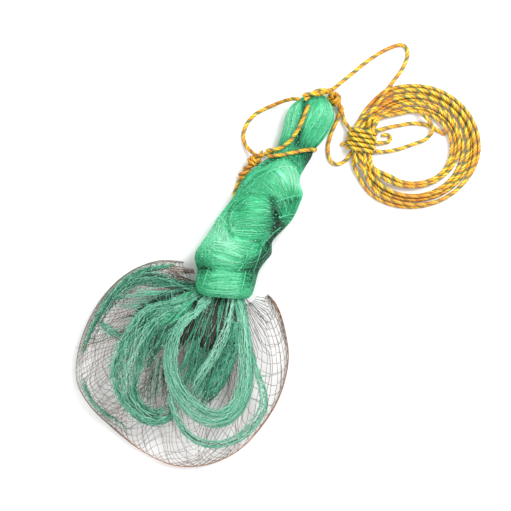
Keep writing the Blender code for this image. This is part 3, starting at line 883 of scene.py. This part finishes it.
# %% Seam ridges
SEAM_LIFT, SEAM_SPREAD, SEAM_RADIUS, SEAM_LAY = 0.9, 0.55, 0.32, 4.2  # mm
SEAMS = (
    ((6, 14), (2, 2), (-2, -12)), ((48, 12), (45, -4), (39, -23)), ((66, 38), (63, 28), (57, 11)),
    ((88, 61), (78, 53), (66, 40)), ((108, 97), (96, 94), (82, 89)), ((103, 76), (94, 74), (85, 71)),
    ((45, 44), (50, 30), (46, 20), (39, 11)), ((-3, 27), (2, 38), (14, 44)),
)


def on_form(tree, points, spacing, lift):
    """A smooth line through plan points in mm, laid on the form lift mm above it, in metres."""
    line = route([(x, y, 0) for x, y in points], spacing)
    heights = [top_of(tree, x, y) for x, y, _ in line]
    known = [height for height in heights if height is not None] or [0.0]
    line[:, 2] = [(known[-1] if height is None else height) + lift * MM for height in heights]
    return line


seam_strands = Strands()
for seam in SEAMS:
    middle = on_form(hank_tree, seam, 2.0, SEAM_LIFT)
    turns = line_length(middle) / MM / SEAM_LAY * np.linspace(0, 1, len(middle))[:, None]
    for strand in range(3):
        line = wound_line(middle, math.tau * (strand / 3 + turns), SEAM_SPREAD * MM)
        seam_strands.add(line[None], SEAM_RADIUS * MM, [0.6 + 0.08 * strand])
own(seam_strands.finish("seam_ridges", YARN["green"]))

# %% [markdown]
# ## The loose end's surface
# The last part of the net is not wound. It spreads from the mouth of the hank, puffs up by its own stiffness
# and comes down to the floor all round. Nineteen ribs describe it: where each leaves the mouth, where it
# meets the floor and how high it stands between. A fine grid through the ribs gives any place on the net
# from two numbers, u from rib to rib and v from the mouth to the edge.

# %% Ribs of the loose end
RIBS = (
    # (mouth x, y), (foot x, y), crown; all in mm
    ((-13, -9), (-22, 21), 17), ((-13, -13), (-52, 23), 26), ((-12, -17), (-85, 11), 34),
    ((-9, -20), (-112, -12), 38), ((-5, -22), (-133, -44), 42), ((-1, -23), (-146, -81), 45),
    ((4, -24), (-148, -116), 44), ((9, -24), (-133, -145), 40), ((14, -25), (-104, -173), 35),
    ((19, -25), (-73, -197), 38), ((24, -25), (-36, -214), 41), ((29, -26), (3, -213), 41),
    ((34, -26), (40, -196), 38), ((39, -26), (69, -165), 35), ((44, -26), (88, -131), 35),
    ((49, -26), (97, -91), 33), ((54, -24), (92, -53), 29), ((58, -21), (83, -28), 22),
    ((60, -16), (72, -15), 16),
)
RISE = ((0.12, 0.86), (0.28, 0.97), (0.42, 1.0), (0.55, 0.99), (0.67, 0.95), (0.78, 0.87), (0.87, 0.74),
        (0.94, 0.54), (0.985, 0.28))
MOUTH_HEIGHT = 24
LAST_RIB = len(RIBS) - 1
GRID_STEPS = 8  # columns from one rib to the next
GRID_ROWS = 48


def rib_line(mouth, foot, crown):
    """The rib's points in mm, from the mouth up and out and down to the floor."""
    mouth, foot = np.array(mouth, float), np.array(foot, float)
    points = [(*mouth, min(MOUTH_HEIGHT, crown * 0.8))]
    points += [(*(mouth + (foot - mouth) * way), crown * share) for way, share in RISE]
    return np.array(points + [(*foot, 2.0)])


def loose_grid():
    """Points in metres, (columns, rows, 3), evenly spaced down each column."""
    ribs = np.array([rib_line(*rib) for rib in RIBS])
    shares = np.linspace(0, LAST_RIB, LAST_RIB * GRID_STEPS + 1)
    columns = smooth(ribs.reshape(len(ribs), -1), shares).reshape(len(shares), -1, 3)
    grid = []
    for column in columns:
        fine = smooth(column, np.linspace(0, len(column) - 1, 120))
        reach = reach_along(fine)
        grid.append(at_reach(fine, reach, np.linspace(0, reach[-1], GRID_ROWS)))
    return np.array(grid) * MM


LOOSE = loose_grid()
EDGE = LOOSE[:, -1]
UNDER = np.stack([EDGE + (LOOSE[:, 0] - EDGE) * way for way in np.linspace(0.7, 0.01, GRID_ROWS)], axis=1)
UNDER[:, :, 2] = 0.8 * MM  # the layer under the first one lies flat on the floor


def on_grid(grid, u, v):
    """Places on a grid for arrays of u, in ribs, and v, from 0 to 1."""
    u, v = np.broadcast_arrays(np.asarray(u, float), np.asarray(v, float))
    column = np.clip(u, 0, LAST_RIB) * GRID_STEPS
    row = np.clip(v, 0, 1) * (GRID_ROWS - 1)
    left = np.minimum(column.astype(int), grid.shape[0] - 2)
    low = np.minimum(row.astype(int), GRID_ROWS - 2)
    across, down = (column - left)[..., None], (row - low)[..., None]
    near = grid[left, low] * (1 - across) + grid[left + 1, low] * across
    far = grid[left, low + 1] * (1 - across) + grid[left + 1, low + 1] * across
    return near * (1 - down) + far * down


def grid_tree(grid):
    columns, rows = grid.shape[:2]
    faces = [(c * rows + r, (c + 1) * rows + r, (c + 1) * rows + r + 1, c * rows + r + 1)
             for c in range(columns - 1) for r in range(rows - 1)]
    return BVHTree.FromPolygons([Vector(p) for p in grid.reshape(-1, 3)], faces)


LOOSE_TREE = grid_tree(LOOSE)
print("loose end", LOOSE.shape, "edge", round(line_length(EDGE), 3), "m round")

# %% [markdown]
# ## Knotting the loose end
# A net is rows of meshes. Hung from the hank, its strands run outward from the mouth and are tied to each
# other in rounds, so it is drawn as strands down the grid and rounds across it, both moved by the same
# slow drift so that they still meet at their knots. On the left the meshes are square. Below they are slanted
# and on the right pulled long: there no rounds are needed, because each strand swings aside to meet its
# neighbours in turn. A second, sparse layer lies on the floor under the first.

# %% Drift and spacing
MESH_LEFT, MESH_BELOW, MESH_RIGHT = 5.8, 4.6, 8.6  # mm between strands at the edge
SLANTED_FROM, SLANTED_TO = 6.6, 8.2  # ribs where the meshes turn from square to slanted
PULLED_FROM, PULLED_TO = 11.6, 13.2  # ribs where they turn from short to pulled long
STRAND_JITTER, ROW_JITTER = 0.014, 0.004  # ribs, and share of the way out
ROUND_SAG = 0.008  # share of the way out that a round sags between two strands
LOOSE_TONE = 0.42
# The net near the hank's mouth is painted darker: a painted shade where the hank shades it.
MOUTH_PAINTED_SHADE = (18, -25, 38.0, 0.3)  # x, y and reach in mm of the shade at the mouth, and how much darker
PALE_FROM, PALE_REACH, PALER = 120, 80, 0.06  # mm down the net, over how many mm, and how much paler


def drifted(u, v, waves):
    """u and v moved a little by slow waves, the same for all strands that pass there."""
    du, dv = 0, 0
    stiff = 1 - 0.75 * np.clip((u - PULLED_FROM) / (PULLED_TO - PULLED_FROM), 0, 1)
    for size, up, down, phase in waves:
        size = size * stiff
        du = du + size * np.sin(u * up + v * down + phase)
        dv = dv + size * 0.28 * np.sin(u * up * 0.8 - v * down * 1.3 + phase * 2)
    ends = np.clip(np.minimum(v, 1 - v) * 5, 0, 1)
    return u + du * ends, v + dv * ends


def new_waves(size):
    return [(size / (1 + k), RANDOM.uniform(0.8, 2.2) * (1 + k), RANDOM.uniform(-5, 5) * (1 + k * 0.7),
             RANDOM.uniform(0, math.tau)) for k in range(5)]


def strand_places():
    """The u of each strand, closest at the bottom and widest on the right."""
    fine = np.linspace(0, LAST_RIB, 2000)
    edge = on_grid(LOOSE, fine, 1.0) / MM
    spacing = np.interp(fine, (SLANTED_FROM, SLANTED_TO, PULLED_FROM, PULLED_TO),
                        (MESH_LEFT, MESH_BELOW, MESH_BELOW, MESH_RIGHT))
    steps = np.linalg.norm(np.diff(edge, axis=0), axis=1) / spacing[1:]
    count = np.concatenate([[0.0], np.cumsum(steps)])
    return np.interp(np.arange(0.5, count[-1], 1.0), count, fine)


def bleached_tone_with_painted_shade(places):
    """Darker near the mouth, a painted shade where the hank shades the net, and pale at the bottom of the
    loose end.
    """
    x, y = places[..., 0] / MM, places[..., 1] / MM
    shade_x, shade_y, reach, darker = MOUTH_PAINTED_SHADE
    mouth = np.exp(-((x - shade_x) ** 2 + (y - shade_y) ** 2) / (2 * reach**2))
    return LOOSE_TONE - darker * mouth + PALER * np.clip((-y - PALE_FROM) / PALE_REACH, 0, 1)


def slanted(places, rows):
    """How far each strand swings aside at each row, to meet its left and right neighbours in turn."""
    order = np.arange(len(places))
    half_way = np.gradient(places) / 2
    amount = np.interp(places, (SLANTED_FROM, SLANTED_TO), (0, 1))
    long_meshes = places > PULLED_FROM
    swings = []
    for row, out in enumerate(rows):
        short = 1.0 - 2.0 * ((order + row) % 2)
        place = (row + 2 * (order % 2)) % 4
        long = np.array([1.0, 0.0, -1.0, 0.0])[place] * np.clip((out - 0.3) * 5, 0, 1)
        swings.append(half_way * amount * np.where(long_meshes, long, short))
    return np.array(swings).T


def kept_runs(kept):
    """First and last strand of each run of three or more that a round ties together."""
    start = 0
    while start < len(kept) - 1:
        stop = start
        while stop < len(kept) - 1 and kept[stop]:
            stop += 1
        if stop - start >= 2:
            yield start, stop
        start = stop + 1


def knit_layer(name, grid, waves, radius, first_row, last_row, row_count, kept_rounds, skip):
    """One layer of netting: strands down the grid, knots where they meet and rounds across on the left."""
    strands = Strands()
    places = strand_places()[::skip]
    places = places + RANDOM.normal(0, STRAND_JITTER, len(places))
    rows = np.linspace(first_row, last_row, row_count) + RANDOM.normal(0, ROW_JITTER, row_count)
    swings = slanted(places, rows)
    down = np.concatenate([[0.0, first_row / 2], rows, [1.0]])
    aside = np.pad(swings, ((0, 0), (2, 1)))
    lines = np.array([on_grid(grid, *drifted(u + swing, down, waves)) for u, swing in zip(places, aside)])
    strands.add(lines, radius, bleached_tone_with_painted_shade(lines) + RANDOM.normal(0, 0.08, (len(lines), 1)))
    knots = []
    turn = np.arange(len(places))
    wanted = np.interp(places, (0.0, 1.2, 2.6), (0.3, 0.4, kept_rounds))
    for row, out in enumerate(rows):
        knots.append(lines[np.abs(swings[:, row]) > 0.02, row + 2])
        kept = (RANDOM.random(len(places)) < wanted) & (places < SLANTED_TO)
        for start, stop in kept_runs(kept):
            between = np.linspace(start, stop, (stop - start) * 2 + 1)
            u = np.interp(between, turn, places)
            sag = ROUND_SAG * np.abs(np.sin(math.pi * between))
            line = on_grid(grid, *drifted(u, np.full_like(u, out) + sag, waves)) + (0, 0, 0.2 * MM)
            strands.add(line[None], radius * 0.9, bleached_tone_with_painted_shade(line)[None] + RANDOM.normal(0, 0.06))
            knots.append(line[::2])
    knots = np.concatenate(knots)
    # Painted highlight: the knots are painted lighter than the strands they tie.
    add_knots(strands, knots, bleached_tone_with_painted_shade(knots) + 0.25 + RANDOM.normal(0, 0.1, len(knots)), 0.5)
    return own(strands.finish(name, YARN["bleached"]))


# %% The two layers
dome_net = knit_layer("loose_net", LOOSE, new_waves(0.16), 0.33 * MM, 0.16, 0.985, 30, 0.985, 1)
floor_net = knit_layer("loose_net_under", UNDER, new_waves(0.25), 0.22 * MM, 0.45, 0.97, 6, 0.9, 3)
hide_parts("skirt")

# %% [markdown]
# ## The edge of the loose end
# The last round of a net is a thicker line that carries the meshes. Along the bottom and the right it is
# orange, on the left it is green, and elsewhere it is bleached like the net. In places a second line runs
# just inside it.

# %% Edge lines
EDGE_LINES = (
    # from rib, to rib, way out, radius in mm, colour, tone
    (8.2, 17.6, 0.998, 0.62, "orange", 0.55), (9.5, 13.0, 0.985, 0.45, "orange", 0.7),
    (0.1, 1.4, 0.998, 0.5, "bleached", 0.4), (1.2, 5.4, 0.998, 0.62, "faded", 0.42),
    (1.6, 6.2, 0.982, 0.45, "faded", 0.35), (5.2, 8.6, 0.998, 0.55, "bleached", 0.45),
    (3.5, 8.8, 0.972, 0.4, "bleached", 0.4),
    (12.6, 17.9, 0.955, 0.5, "bleached", 0.42), (13.2, 17.7, 0.985, 0.42, "orange", 0.35),
    (16.2, 17.2, 0.72, 0.4, "orange", 0.7),
)
EDGE_NAMES = {"orange": "orange", "bleached": "bleached", "faded": "green"}  # by their yarn
edge_strands = {colour: Strands() for colour in EDGE_NAMES}
for from_rib, to_rib, way_out, thickness, colour, tone in EDGE_LINES:
    ribs_along = np.linspace(from_rib, to_rib, int((to_rib - from_rib) * 14))
    shake = 0.006 * np.sin(ribs_along * 5.1) + 0.004 * np.sin(ribs_along * 11.7)
    line = on_grid(LOOSE, ribs_along, way_out - np.abs(shake))
    edge_strands[colour].add(line[None], thickness * MM, [tone])
edge_pieces = [own(edge_strands[colour].finish("edge_line_" + name, YARN[colour]))
               for colour, name in EDGE_NAMES.items()]

# %% [markdown]
# ## The bunches
# Over the loose end lie bunches of green net, gathered into bands that loop out and come back to the mouth.
# A band is many strands side by side, so each is made of strands that follow one line, each at its own
# place across the band, drifting slowly so that they cross. The frame's solid gives the band's height.

# %% Bunch tables
BUNCHES = {
    # x, y, half width and thickness in mm along each bunch that has a solid in the frame
    "bunch_front": ((18, -4, 6, 4), (8, -17, 6, 4), (-2, -27, 5.5, 5), (-11, -36, 5, 5), (-23, -45, 6, 7),
                    (-33, -62, 7, 8), (-37, -84, 7, 8), (-35, -104, 7, 8), (-26, -125, 7, 8),
                    (-10, -143, 8, 8), (12, -154, 8, 8), (30, -149, 8, 8), (42, -134, 8, 8),
                    (48, -112, 8, 8), (48, -88, 7.5, 8), (46, -62, 7, 8), (43, -36, 6, 6), (39, -21, 6, 5),
                    (34, -6, 5, 4)),
    "bunch_slant": ((30, -6, 4, 5), (32, -19, 4, 5), (29, -36, 4, 6), (25, -56, 5, 7), (17, -74, 5, 7),
                    (5, -93, 5, 7), (-5, -110, 4.5, 6), (-12, -126, 4, 5)),
    "bunch_back": ((37, -46, 2.5, 5), (35, -66, 5, 6), (31, -80, 8, 7), (22, -101, 10, 8),
                   (11, -121, 8.5, 7), (2, -135, 4, 5)),
    "bunch_outer": ((-37, -122, 3, 4), (-36, -136, 3, 4), (-31, -150, 3.5, 5), (-21, -168, 3.5, 5),
                    (-7, -180, 3.5, 5), (10, -185, 3.5, 5), (28, -183, 3.5, 5), (45, -174, 4, 5),
                    (59, -160, 4, 5), (68, -140, 4, 5), (67, -124, 4, 5), (61, -104, 3, 4), (55, -84, 3, 3),
                    (50, -64, 3, 3)),
    "bunch_left": ((10, -8, 5, 4), (-5, -16, 5, 4), (-24, -25, 5, 5), (-42, -30, 7, 7), (-60, -41, 10, 8),
                   (-75, -66, 12, 8), (-86, -96, 13, 8), (-88, -120, 11, 8), (-80, -138, 10, 8),
                   (-66, -150, 9, 8), (-52, -154, 8, 7), (-41, -148, 6, 6)),
    "bunch_edge": ((8, -6, 4, 4), (-5, -9, 4, 4), (-19, -10, 4, 5), (-34, -4, 5, 5), (-50, 3, 5, 5),
                   (-66, 4, 4, 5), (-83, -4, 4, 5), (-97, -17, 4, 5), (-109, -32, 3, 5), (-119, -50, 3, 5),
                   (-126, -70, 2, 4)),
}
EXTRA_BANDS = {
    # the same for bands that lie on the loose end and have no solid of their own
    "band_outline": ((-34, 17, 2, 3), (-58, 14, 3.5, 4), (-79, 6, 4, 4), (-96, -8, 4, 4),
                     (-110, -24, 3.5, 4), (-121, -43, 3, 4), (-131, -62, 2.5, 3), (-138, -82, 1.5, 2)),
    "band_bridge": ((-88, -128, 4, 4), (-76, -145, 7, 5), (-58, -153, 8, 6), (-42, -150, 8, 6),
                    (-28, -138, 5, 5)),
    "band_tongue": ((-120, -42, 1.5, 2), (-108, -54, 3, 2), (-92, -62, 4, 3), (-74, -66, 3, 3)),
    "band_low_left": ((-139, -106, 1, 2), (-133, -128, 1.5, 2), (-119, -147, 2, 2), (-100, -160, 2, 2),
                      (-82, -172, 1.5, 2)),
    "band_inner_left": ((8, -10, 4, 4), (-8, -21, 4, 4), (-30, -38, 8, 5), (-48, -56, 10, 6),
                        (-60, -78, 9, 6), (-66, -98, 5, 4)),
}
BAND_LOOKS = {
    # strands, radius in mm, yarn, tone, spread of tone, ragged ends as a share, fibres and their
    # length in mm, share of strays
    "bunch_front": (108, 0.34, "milky", 0.52, 0.2, 0.04, 320, 6, 0.4),
    "bunch_slant": (56, 0.34, "milky", 0.5, 0.16, 0.25, 140, 6, 0.3),
    # bunch_back's low tone is painted shade: it lies beneath the other bunches, in their shade.
    "bunch_back": (100, 0.38, "faded", 0.28, 0.13, 0.2, 120, 5, 0.12),
    "bunch_outer": (26, 0.34, "milky", 0.5, 0.18, 0.12, 200, 5, 0.5),
    "bunch_left": (90, 0.33, "faded", 0.54, 0.26, 0.25, 900, 8, 0.8),
    "bunch_edge": (30, 0.3, "faded", 0.42, 0.26, 0.5, 420, 5, 0.5),
    "band_outline": (26, 0.32, "faded", 0.38, 0.28, 0.3, 950, 4, 0.2),
    "band_bridge": (60, 0.32, "milky", 0.4, 0.2, 0.35, 420, 7, 0.5),
    "band_tongue": (12, 0.3, "milky", 0.42, 0.22, 0.6, 120, 6, 0.9),
    "band_low_left": (10, 0.3, "faded", 0.42, 0.22, 0.5, 220, 4, 0.6),
    "band_inner_left": (70, 0.34, "faded", 0.22, 0.2, 0.4, 260, 6, 0.5),
}
BAND_CLUMPS = 14  # groups of strands across a band that share a shade
KNOTS_FOR_EACH = 0.2  # knots that show, for each bend of a strand
BAND_LIFT = 1.5  # mm between the loose end and a band without a solid
RIM_SHARE, RIM_MOST = 0.75, 25  # how high a band's end lies in the hank's mouth: share of the rim, and mm
MESH_ZIGZAG = 1.4  # mm; a mesh pulled shut still leaves its strands bent at every knot
BUNCH_STEP = 6.5  # mm from ring to ring of a strand


def band_middle(name):
    """The band's middle line, its half widths and its half thicknesses, in metres."""
    own_solid = name in BUNCHES
    table = np.array(BUNCHES[name] if own_solid else EXTRA_BANDS[name], float)
    fine = smooth(table, np.linspace(0, len(table) - 1, 200))
    reach = reach_along(fine[:, :2])
    table = at_reach(fine, reach, np.linspace(0, reach[-1], int(reach[-1] / BUNCH_STEP) + 1)) * MM
    tree = surface_of(name) if own_solid else LOOSE_TREE
    heights = []
    for x, y, _, thickness in table:
        top, rim = top_of(tree, x, y), top_of(hank_tree, x, y)
        if rim is not None:  # the band's end is tucked in under the hank's rim
            heights.append(min(rim * RIM_SHARE, RIM_MOST * MM))
        elif top is None:
            heights.append(np.nan)
        else:
            heights.append(top if own_solid else top + BAND_LIFT * MM + thickness / 2)
    heights = np.array(heights)
    known = np.flatnonzero(~np.isnan(heights))
    heights = np.interp(np.arange(len(heights)), known, heights[known])
    return np.column_stack([table[:, :2], heights - table[:, 3] / 2]), table[:, 2], table[:, 3] / 2


def fuzz(strands, places, count, length, radius, tone):
    """Short loose fibres that stand off the strands at random places."""
    start = places[RANDOM.integers(0, len(places), count)]
    heading = RANDOM.normal(0, 1, (count, 3)) * (1, 1, 0.35)
    heading /= np.linalg.norm(heading, axis=1, keepdims=True)
    bend = RANDOM.normal(0, 0.5, (count, 3)) * (1, 1, 0.3)
    share = np.linspace(0, 1, 5)[None, :, None]
    reach = RANDOM.uniform(0.4, 1.0, (count, 1, 1)) * length * MM
    lines = start[:, None] + (heading[:, None] * share + bend[:, None] * share**2) * reach
    lines[..., 2] = np.maximum(lines[..., 2], 0.5 * MM)
    strands.add(lines, radius * MM, tone + RANDOM.normal(0, 0.15, count))


def make_band(name):
    """One band of strands, with its knots and the loose fibres at its sides."""
    count, radius, yarn, tone, spread, ragged, fibres, fibre_length, strays = BAND_LOOKS[name]
    middle, half_width, half_thick = band_middle(name)
    steps = len(middle)
    share = np.linspace(0, 1, steps)
    bends = (np.arange(steps) % 2) * 2.0 - 1
    sideways, _ = frames_along(middle[None])
    clump_tones = RANDOM.normal(0, spread * 0.7, BAND_CLUMPS)
    strands, places, shades = Strands(), [], []
    for _ in range(count):
        # Where the strand lies in the band's section: it winds slowly about the middle and wavers.
        angle = RANDOM.uniform(0, math.tau) + RANDOM.uniform(-1.6, 1.6) * share
        angle = angle + 0.35 * np.sin(share * RANDOM.uniform(6, 22) + RANDOM.uniform(0, 6))
        far = RANDOM.uniform(0.45, 1.0) ** 0.5
        if RANDOM.random() < strays:  # it swings out of the band on its way
            far = far * (1 + RANDOM.uniform(0.1, 0.7) * np.sin(math.pi * share) ** 2)
        across = np.cos(angle) * far
        rise = np.clip(np.sin(angle) * far, -1, 1)
        zigzag = bends * RANDOM.uniform(-1, 1) * MESH_ZIGZAG * MM
        line = middle + sideways[0] * (across * half_width + zigzag)[:, None]
        line[:, 2] += rise * half_thick
        line[:, 2] = np.maximum(line[:, 2], radius * MM)
        first = RANDOM.uniform(0, ragged * 0.4) * (steps - 1)
        last = (1 - RANDOM.uniform(0, ragged)) * (steps - 1)
        kept = np.linspace(first, last, steps)
        line = smooth(line, kept)
        # Painted shade: strands lower in the band are painted darker.
        depth = 0.22 * np.interp(kept, np.arange(steps), rise)  # strands below are darker
        clump = clump_tones[int(angle[0] / math.tau * BAND_CLUMPS) % BAND_CLUMPS]
        shade = tone + clump + RANDOM.normal(0, spread * 0.7) + depth
        strands.add(line[None], radius * MM, shade[None])
        places.append(line)
        shades.append(shade)
    places, shades = np.concatenate(places), np.concatenate(shades)
    # Painted highlight: the knots are painted lighter than the strands they tie.
    tied = RANDOM.integers(0, len(places), int(len(places) * KNOTS_FOR_EACH))
    add_knots(strands, places[tied] + (0, 0, 0.2 * MM), shades[tied] + RANDOM.normal(0.22, 0.15, len(tied)))
    fuzz(strands, places, fibres, fibre_length, radius * 0.8, tone)
    piece = own(strands.finish(name.replace("bunch", "band"), YARN[yarn]))
    if name in BUNCHES:
        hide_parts(name)


for band_name in (*BUNCHES, *EXTRA_BANDS):
    make_band(band_name)

# %% [markdown]
# ## Strands under the mouth
# Where the loose end leaves the hank, its strands spread like a fan: green ones to the left, dark ones with
# gaps between them in the middle and pale ones among those. The thickest dark ones are a painted shadow that
# stands for the shade in the gaps under the mouth, and every fan is painted darker towards the mouth. A fan
# is a row of strands from a short line at the mouth to a long one out on the net, laid over the net's own
# height.

# %% Fans
FANS = (
    # mouth from, mouth to, foot from, foot to, count, clumps, steps, yarn, tone, spread, lift mm, radius mm
    ((-8, -2), (-2, -14), (-84, 6), (-96, -34), 72, 8, 14, "milky", 0.42, 0.2, 1.0, 0.3),
    # painted shade: this dark fan stands for the shadows between the green sheets
    ((-8, -4), (-2, -14), (-78, -22), (-66, -58), 90, 12, 14, "faded", 0.12, 0.18, 1.6, 0.4),
    ((-8, -6), (6, -16), (-92, -40), (-56, -84), 84, 9, 16, "faded", 0.46, 0.22, 2.2, 0.34),
    ((-8, -6), (4, -16), (-70, -36), (-40, -70), 44, 8, 14, "green", 0.6, 0.14, 3.0, 0.34),
    ((-8, -8), (4, -14), (-126, -52), (-104, -100), 14, 6, 16, "milky", 0.46, 0.14, 0.8, 0.3),
    ((-8, 0), (-8, -8), (-40, 12), (-48, 0), 16, 7, 9, "bleached", 0.16, 0.1, 0.6, 0.34),
    ((-10, 8), (-12, 14), (-50, 8), (-42, 22), 18, 7, 10, "bleached", 0.42, 0.16, 1.0, 0.3),
    # painted shadow: these thick dark strands stand for the shade in the gaps under the mouth
    ((-4, -12), (38, -18), (-30, -68), (36, -80), 240, 30, 12, "bleached", -0.12, 0.05, 2.4, 1.0),
    ((-2, -60), (36, -62), (-34, -108), (30, -112), 60, 14, 10, "faded", 0.26, 0.16, 1.6, 0.4),
    ((-4, -12), (36, -16), (-36, -86), (34, -80), 26, 5, 12, "green", 0.46, 0.14, 3.6, 0.3),
    ((-2, -12), (34, -16), (-30, -74), (30, -66), 20, 6, 12, "milky", 0.56, 0.16, 4.2, 0.3),
    ((-2, -12), (18, -15), (-34, -122), (0, -126), 36, 5, 14, "faded", 0.54, 0.18, 3.0, 0.32),
    ((28, -14), (46, -16), (38, -66), (50, -80), 56, 6, 12, "milky", 0.44, 0.16, 3.0, 0.32),
    ((44, -20), (50, -20), (62, -74), (84, -44), 5, 4, 12, "bleached", 0.3, 0.1, 0.6, 0.3),
    ((10, -95), (26, -92), (-22, -146), (2, -148), 30, 7, 10, "milky", 0.45, 0.16, 0.8, 0.32),
    ((-12, -84), (10, -90), (-26, -128), (0, -138), 50, 8, 10, "faded", 0.5, 0.18, 1.8, 0.33),
    ((-56, -84), (-40, -88), (-74, -138), (-38, -142), 22, 9, 10, "faded", 0.3, 0.2, 0.6, 0.34),
    ((-60, -80), (-42, -84), (-70, -130), (-44, -134), 10, 6, 8, "bleached", 0.4, 0.2, 0.6, 0.34),
)
TIES_FOR_EACH = 0.9  # cross strands for each strand of a fan
TIE_REACH = 9  # mm between two strands that a cross strand can still tie
FAN_NAMES = {"green": "green", "bleached": "dark", "milky": "milky", "faded": "faded"}  # by their yarn
fan_strands = {yarn: Strands() for yarn in FAN_NAMES}


def add_fan(from_mouth, to_mouth, from_foot, to_foot, count, clumps, steps, yarn, tone, spread, lift, radius):
    """Strands that spread from one line to another over the net, gathered into clumps with gaps between."""
    from_mouth, to_mouth, from_foot, to_foot = map(np.array, (from_mouth, to_mouth, from_foot, to_foot))
    share = np.linspace(0, 1, steps)
    lines, tones = [], []
    clump_tones = RANDOM.normal(0, spread, clumps)
    for _ in range(count):
        clump = RANDOM.integers(clumps)
        place = float(np.clip((clump + 0.5 + RANDOM.normal(0, 0.17)) / clumps, 0, 1))
        start = from_mouth + (to_mouth - from_mouth) * place
        slip = float(np.clip(place + RANDOM.normal(0, 0.03), 0, 1))
        end = from_foot + (to_foot - from_foot) * slip
        end = start + (end - start) * RANDOM.uniform(0.62, 1.1)
        bow = RANDOM.normal(0, 0.035) * np.sin(math.pi * share)
        bow = bow + 0.02 * np.sin(share * RANDOM.uniform(4, 18) + RANDOM.uniform(0, 6)) * share
        aside = np.array((start[1] - end[1], end[0] - start[0]))
        plan = (start + (end - start) * share[:, None] + aside * bow[:, None]) * MM
        heights = [top_of(LOOSE_TREE, x, y) for x, y in plan]
        heights = np.array([MOUTH_HEIGHT * MM if height is None else height for height in heights])
        rise = (lift + RANDOM.uniform(0, 1.6)) * MM * np.minimum(1, share * 4)
        lines.append(np.column_stack([plan, heights + rise]))
        # Painted shade: each strand is darker near the mouth, where the hank shades it.
        tones.append(tone + clump_tones[clump] + RANDOM.normal(0, spread * 0.5) - 0.12 * (1 - share))
    lines, tones = np.array(lines), np.array(tones)
    fan_strands[yarn].add(lines, radius * MM, tones)
    # A fan is still netting, so short cross strands tie its strands to each other.
    order = np.argsort(lines[:, steps // 2, 0] + lines[:, steps // 2, 1] * 0.5)
    ties = int(count * TIES_FOR_EACH)
    first = RANDOM.integers(0, count - 1, ties)
    step = RANDOM.integers(steps // 3, steps, ties)
    start, end = lines[order[first], step], lines[order[first + 1], np.maximum(step - 1, 1)]
    near = np.linalg.norm(end - start, axis=1) < TIE_REACH * MM
    middle = (start + end) / 2 + (0, 0, 0.5 * MM)
    across = np.stack([start, middle, end], axis=1)[near]
    if len(across):
        fan_strands[yarn].add(across, radius * 0.9 * MM, tones[order[first], step][near] + 0.12)
        # Painted highlight: the knots are painted lighter than the strands they tie.
        add_knots(fan_strands[yarn], across[:, 0], tones[order[first], step][near] + 0.3, radius * 1.6)


for fan in FANS:
    add_fan(*fan)
for yarn, name in FAN_NAMES.items():
    own(fan_strands[yarn].finish("fan_" + name, YARN[yarn]))

# %% [markdown]
# ## What the loose end measures
# The loose end is one sheet of netting, cut wide and gathered at the mouth.

edge_length = line_length(EDGE)
rib_length = float(np.mean([line_length(column) for column in LOOSE]))
print("loose end cut", round(edge_length, 3), "by", round(rib_length, 3), "m")

# %% [markdown]
# ## Floor and light
# A plain pale floor, and soft light from large lamps: one broad lamp high on the right gives the threads
# their shine, a weaker one on the left opens the shadows, and the room's own light does the rest.

# %% Floor
bpy.ops.object.select_all(action="DESELECT")
bpy.ops.mesh.primitive_plane_add(size=4.0, location=(*VIEW_CENTRE, 0))
floor = bpy.context.object
floor.name = "floor"
bpy.ops.object.transform_apply(location=True)
floor_paint, floor_tree, floor_shader = new_material("matt_white_board", 0.75)
floor_colour = ramp(floor_tree, noise(floor_tree, 9.0), ((0.3, "#f1f1f1"), (0.7, "#f6f6f6")))
floor_tree.links.new(floor_colour, floor_shader.inputs["Base Color"])
floor.data.materials.append(floor_paint)

# %% Lamps
ROOM_LIGHT = 0.75
LAMPS = (
    # name, place from the view's centre in m, size in m, power in W
    ("key", (0.55, 0.5, 1.1), 0.55, 15.0),
    ("fill", (-0.8, -0.3, 1.2), 1.2, 7.0),
)
for lamp_name, place, size, power in LAMPS:
    bpy.ops.object.light_add(type="AREA", location=Vector((*VIEW_CENTRE, 0)) + Vector(place),
                             rotation=(-Vector(place)).to_track_quat("-Z", "Y").to_euler())
    lamp = bpy.context.object
    lamp.name = lamp_name
    lamp.data.size, lamp.data.energy = size, power

world = bpy.data.worlds.new("studio")
bpy.context.scene.world = world
world.use_nodes = True
background = world.node_tree.nodes["Background"]
background.inputs["Color"].default_value = (1, 1, 1, 1)
background.inputs["Strength"].default_value = ROOM_LIGHT
bpy.context.scene.view_settings.view_transform = "Standard"
print("lamps:", ", ".join(lamp_name for lamp_name, *_ in LAMPS))
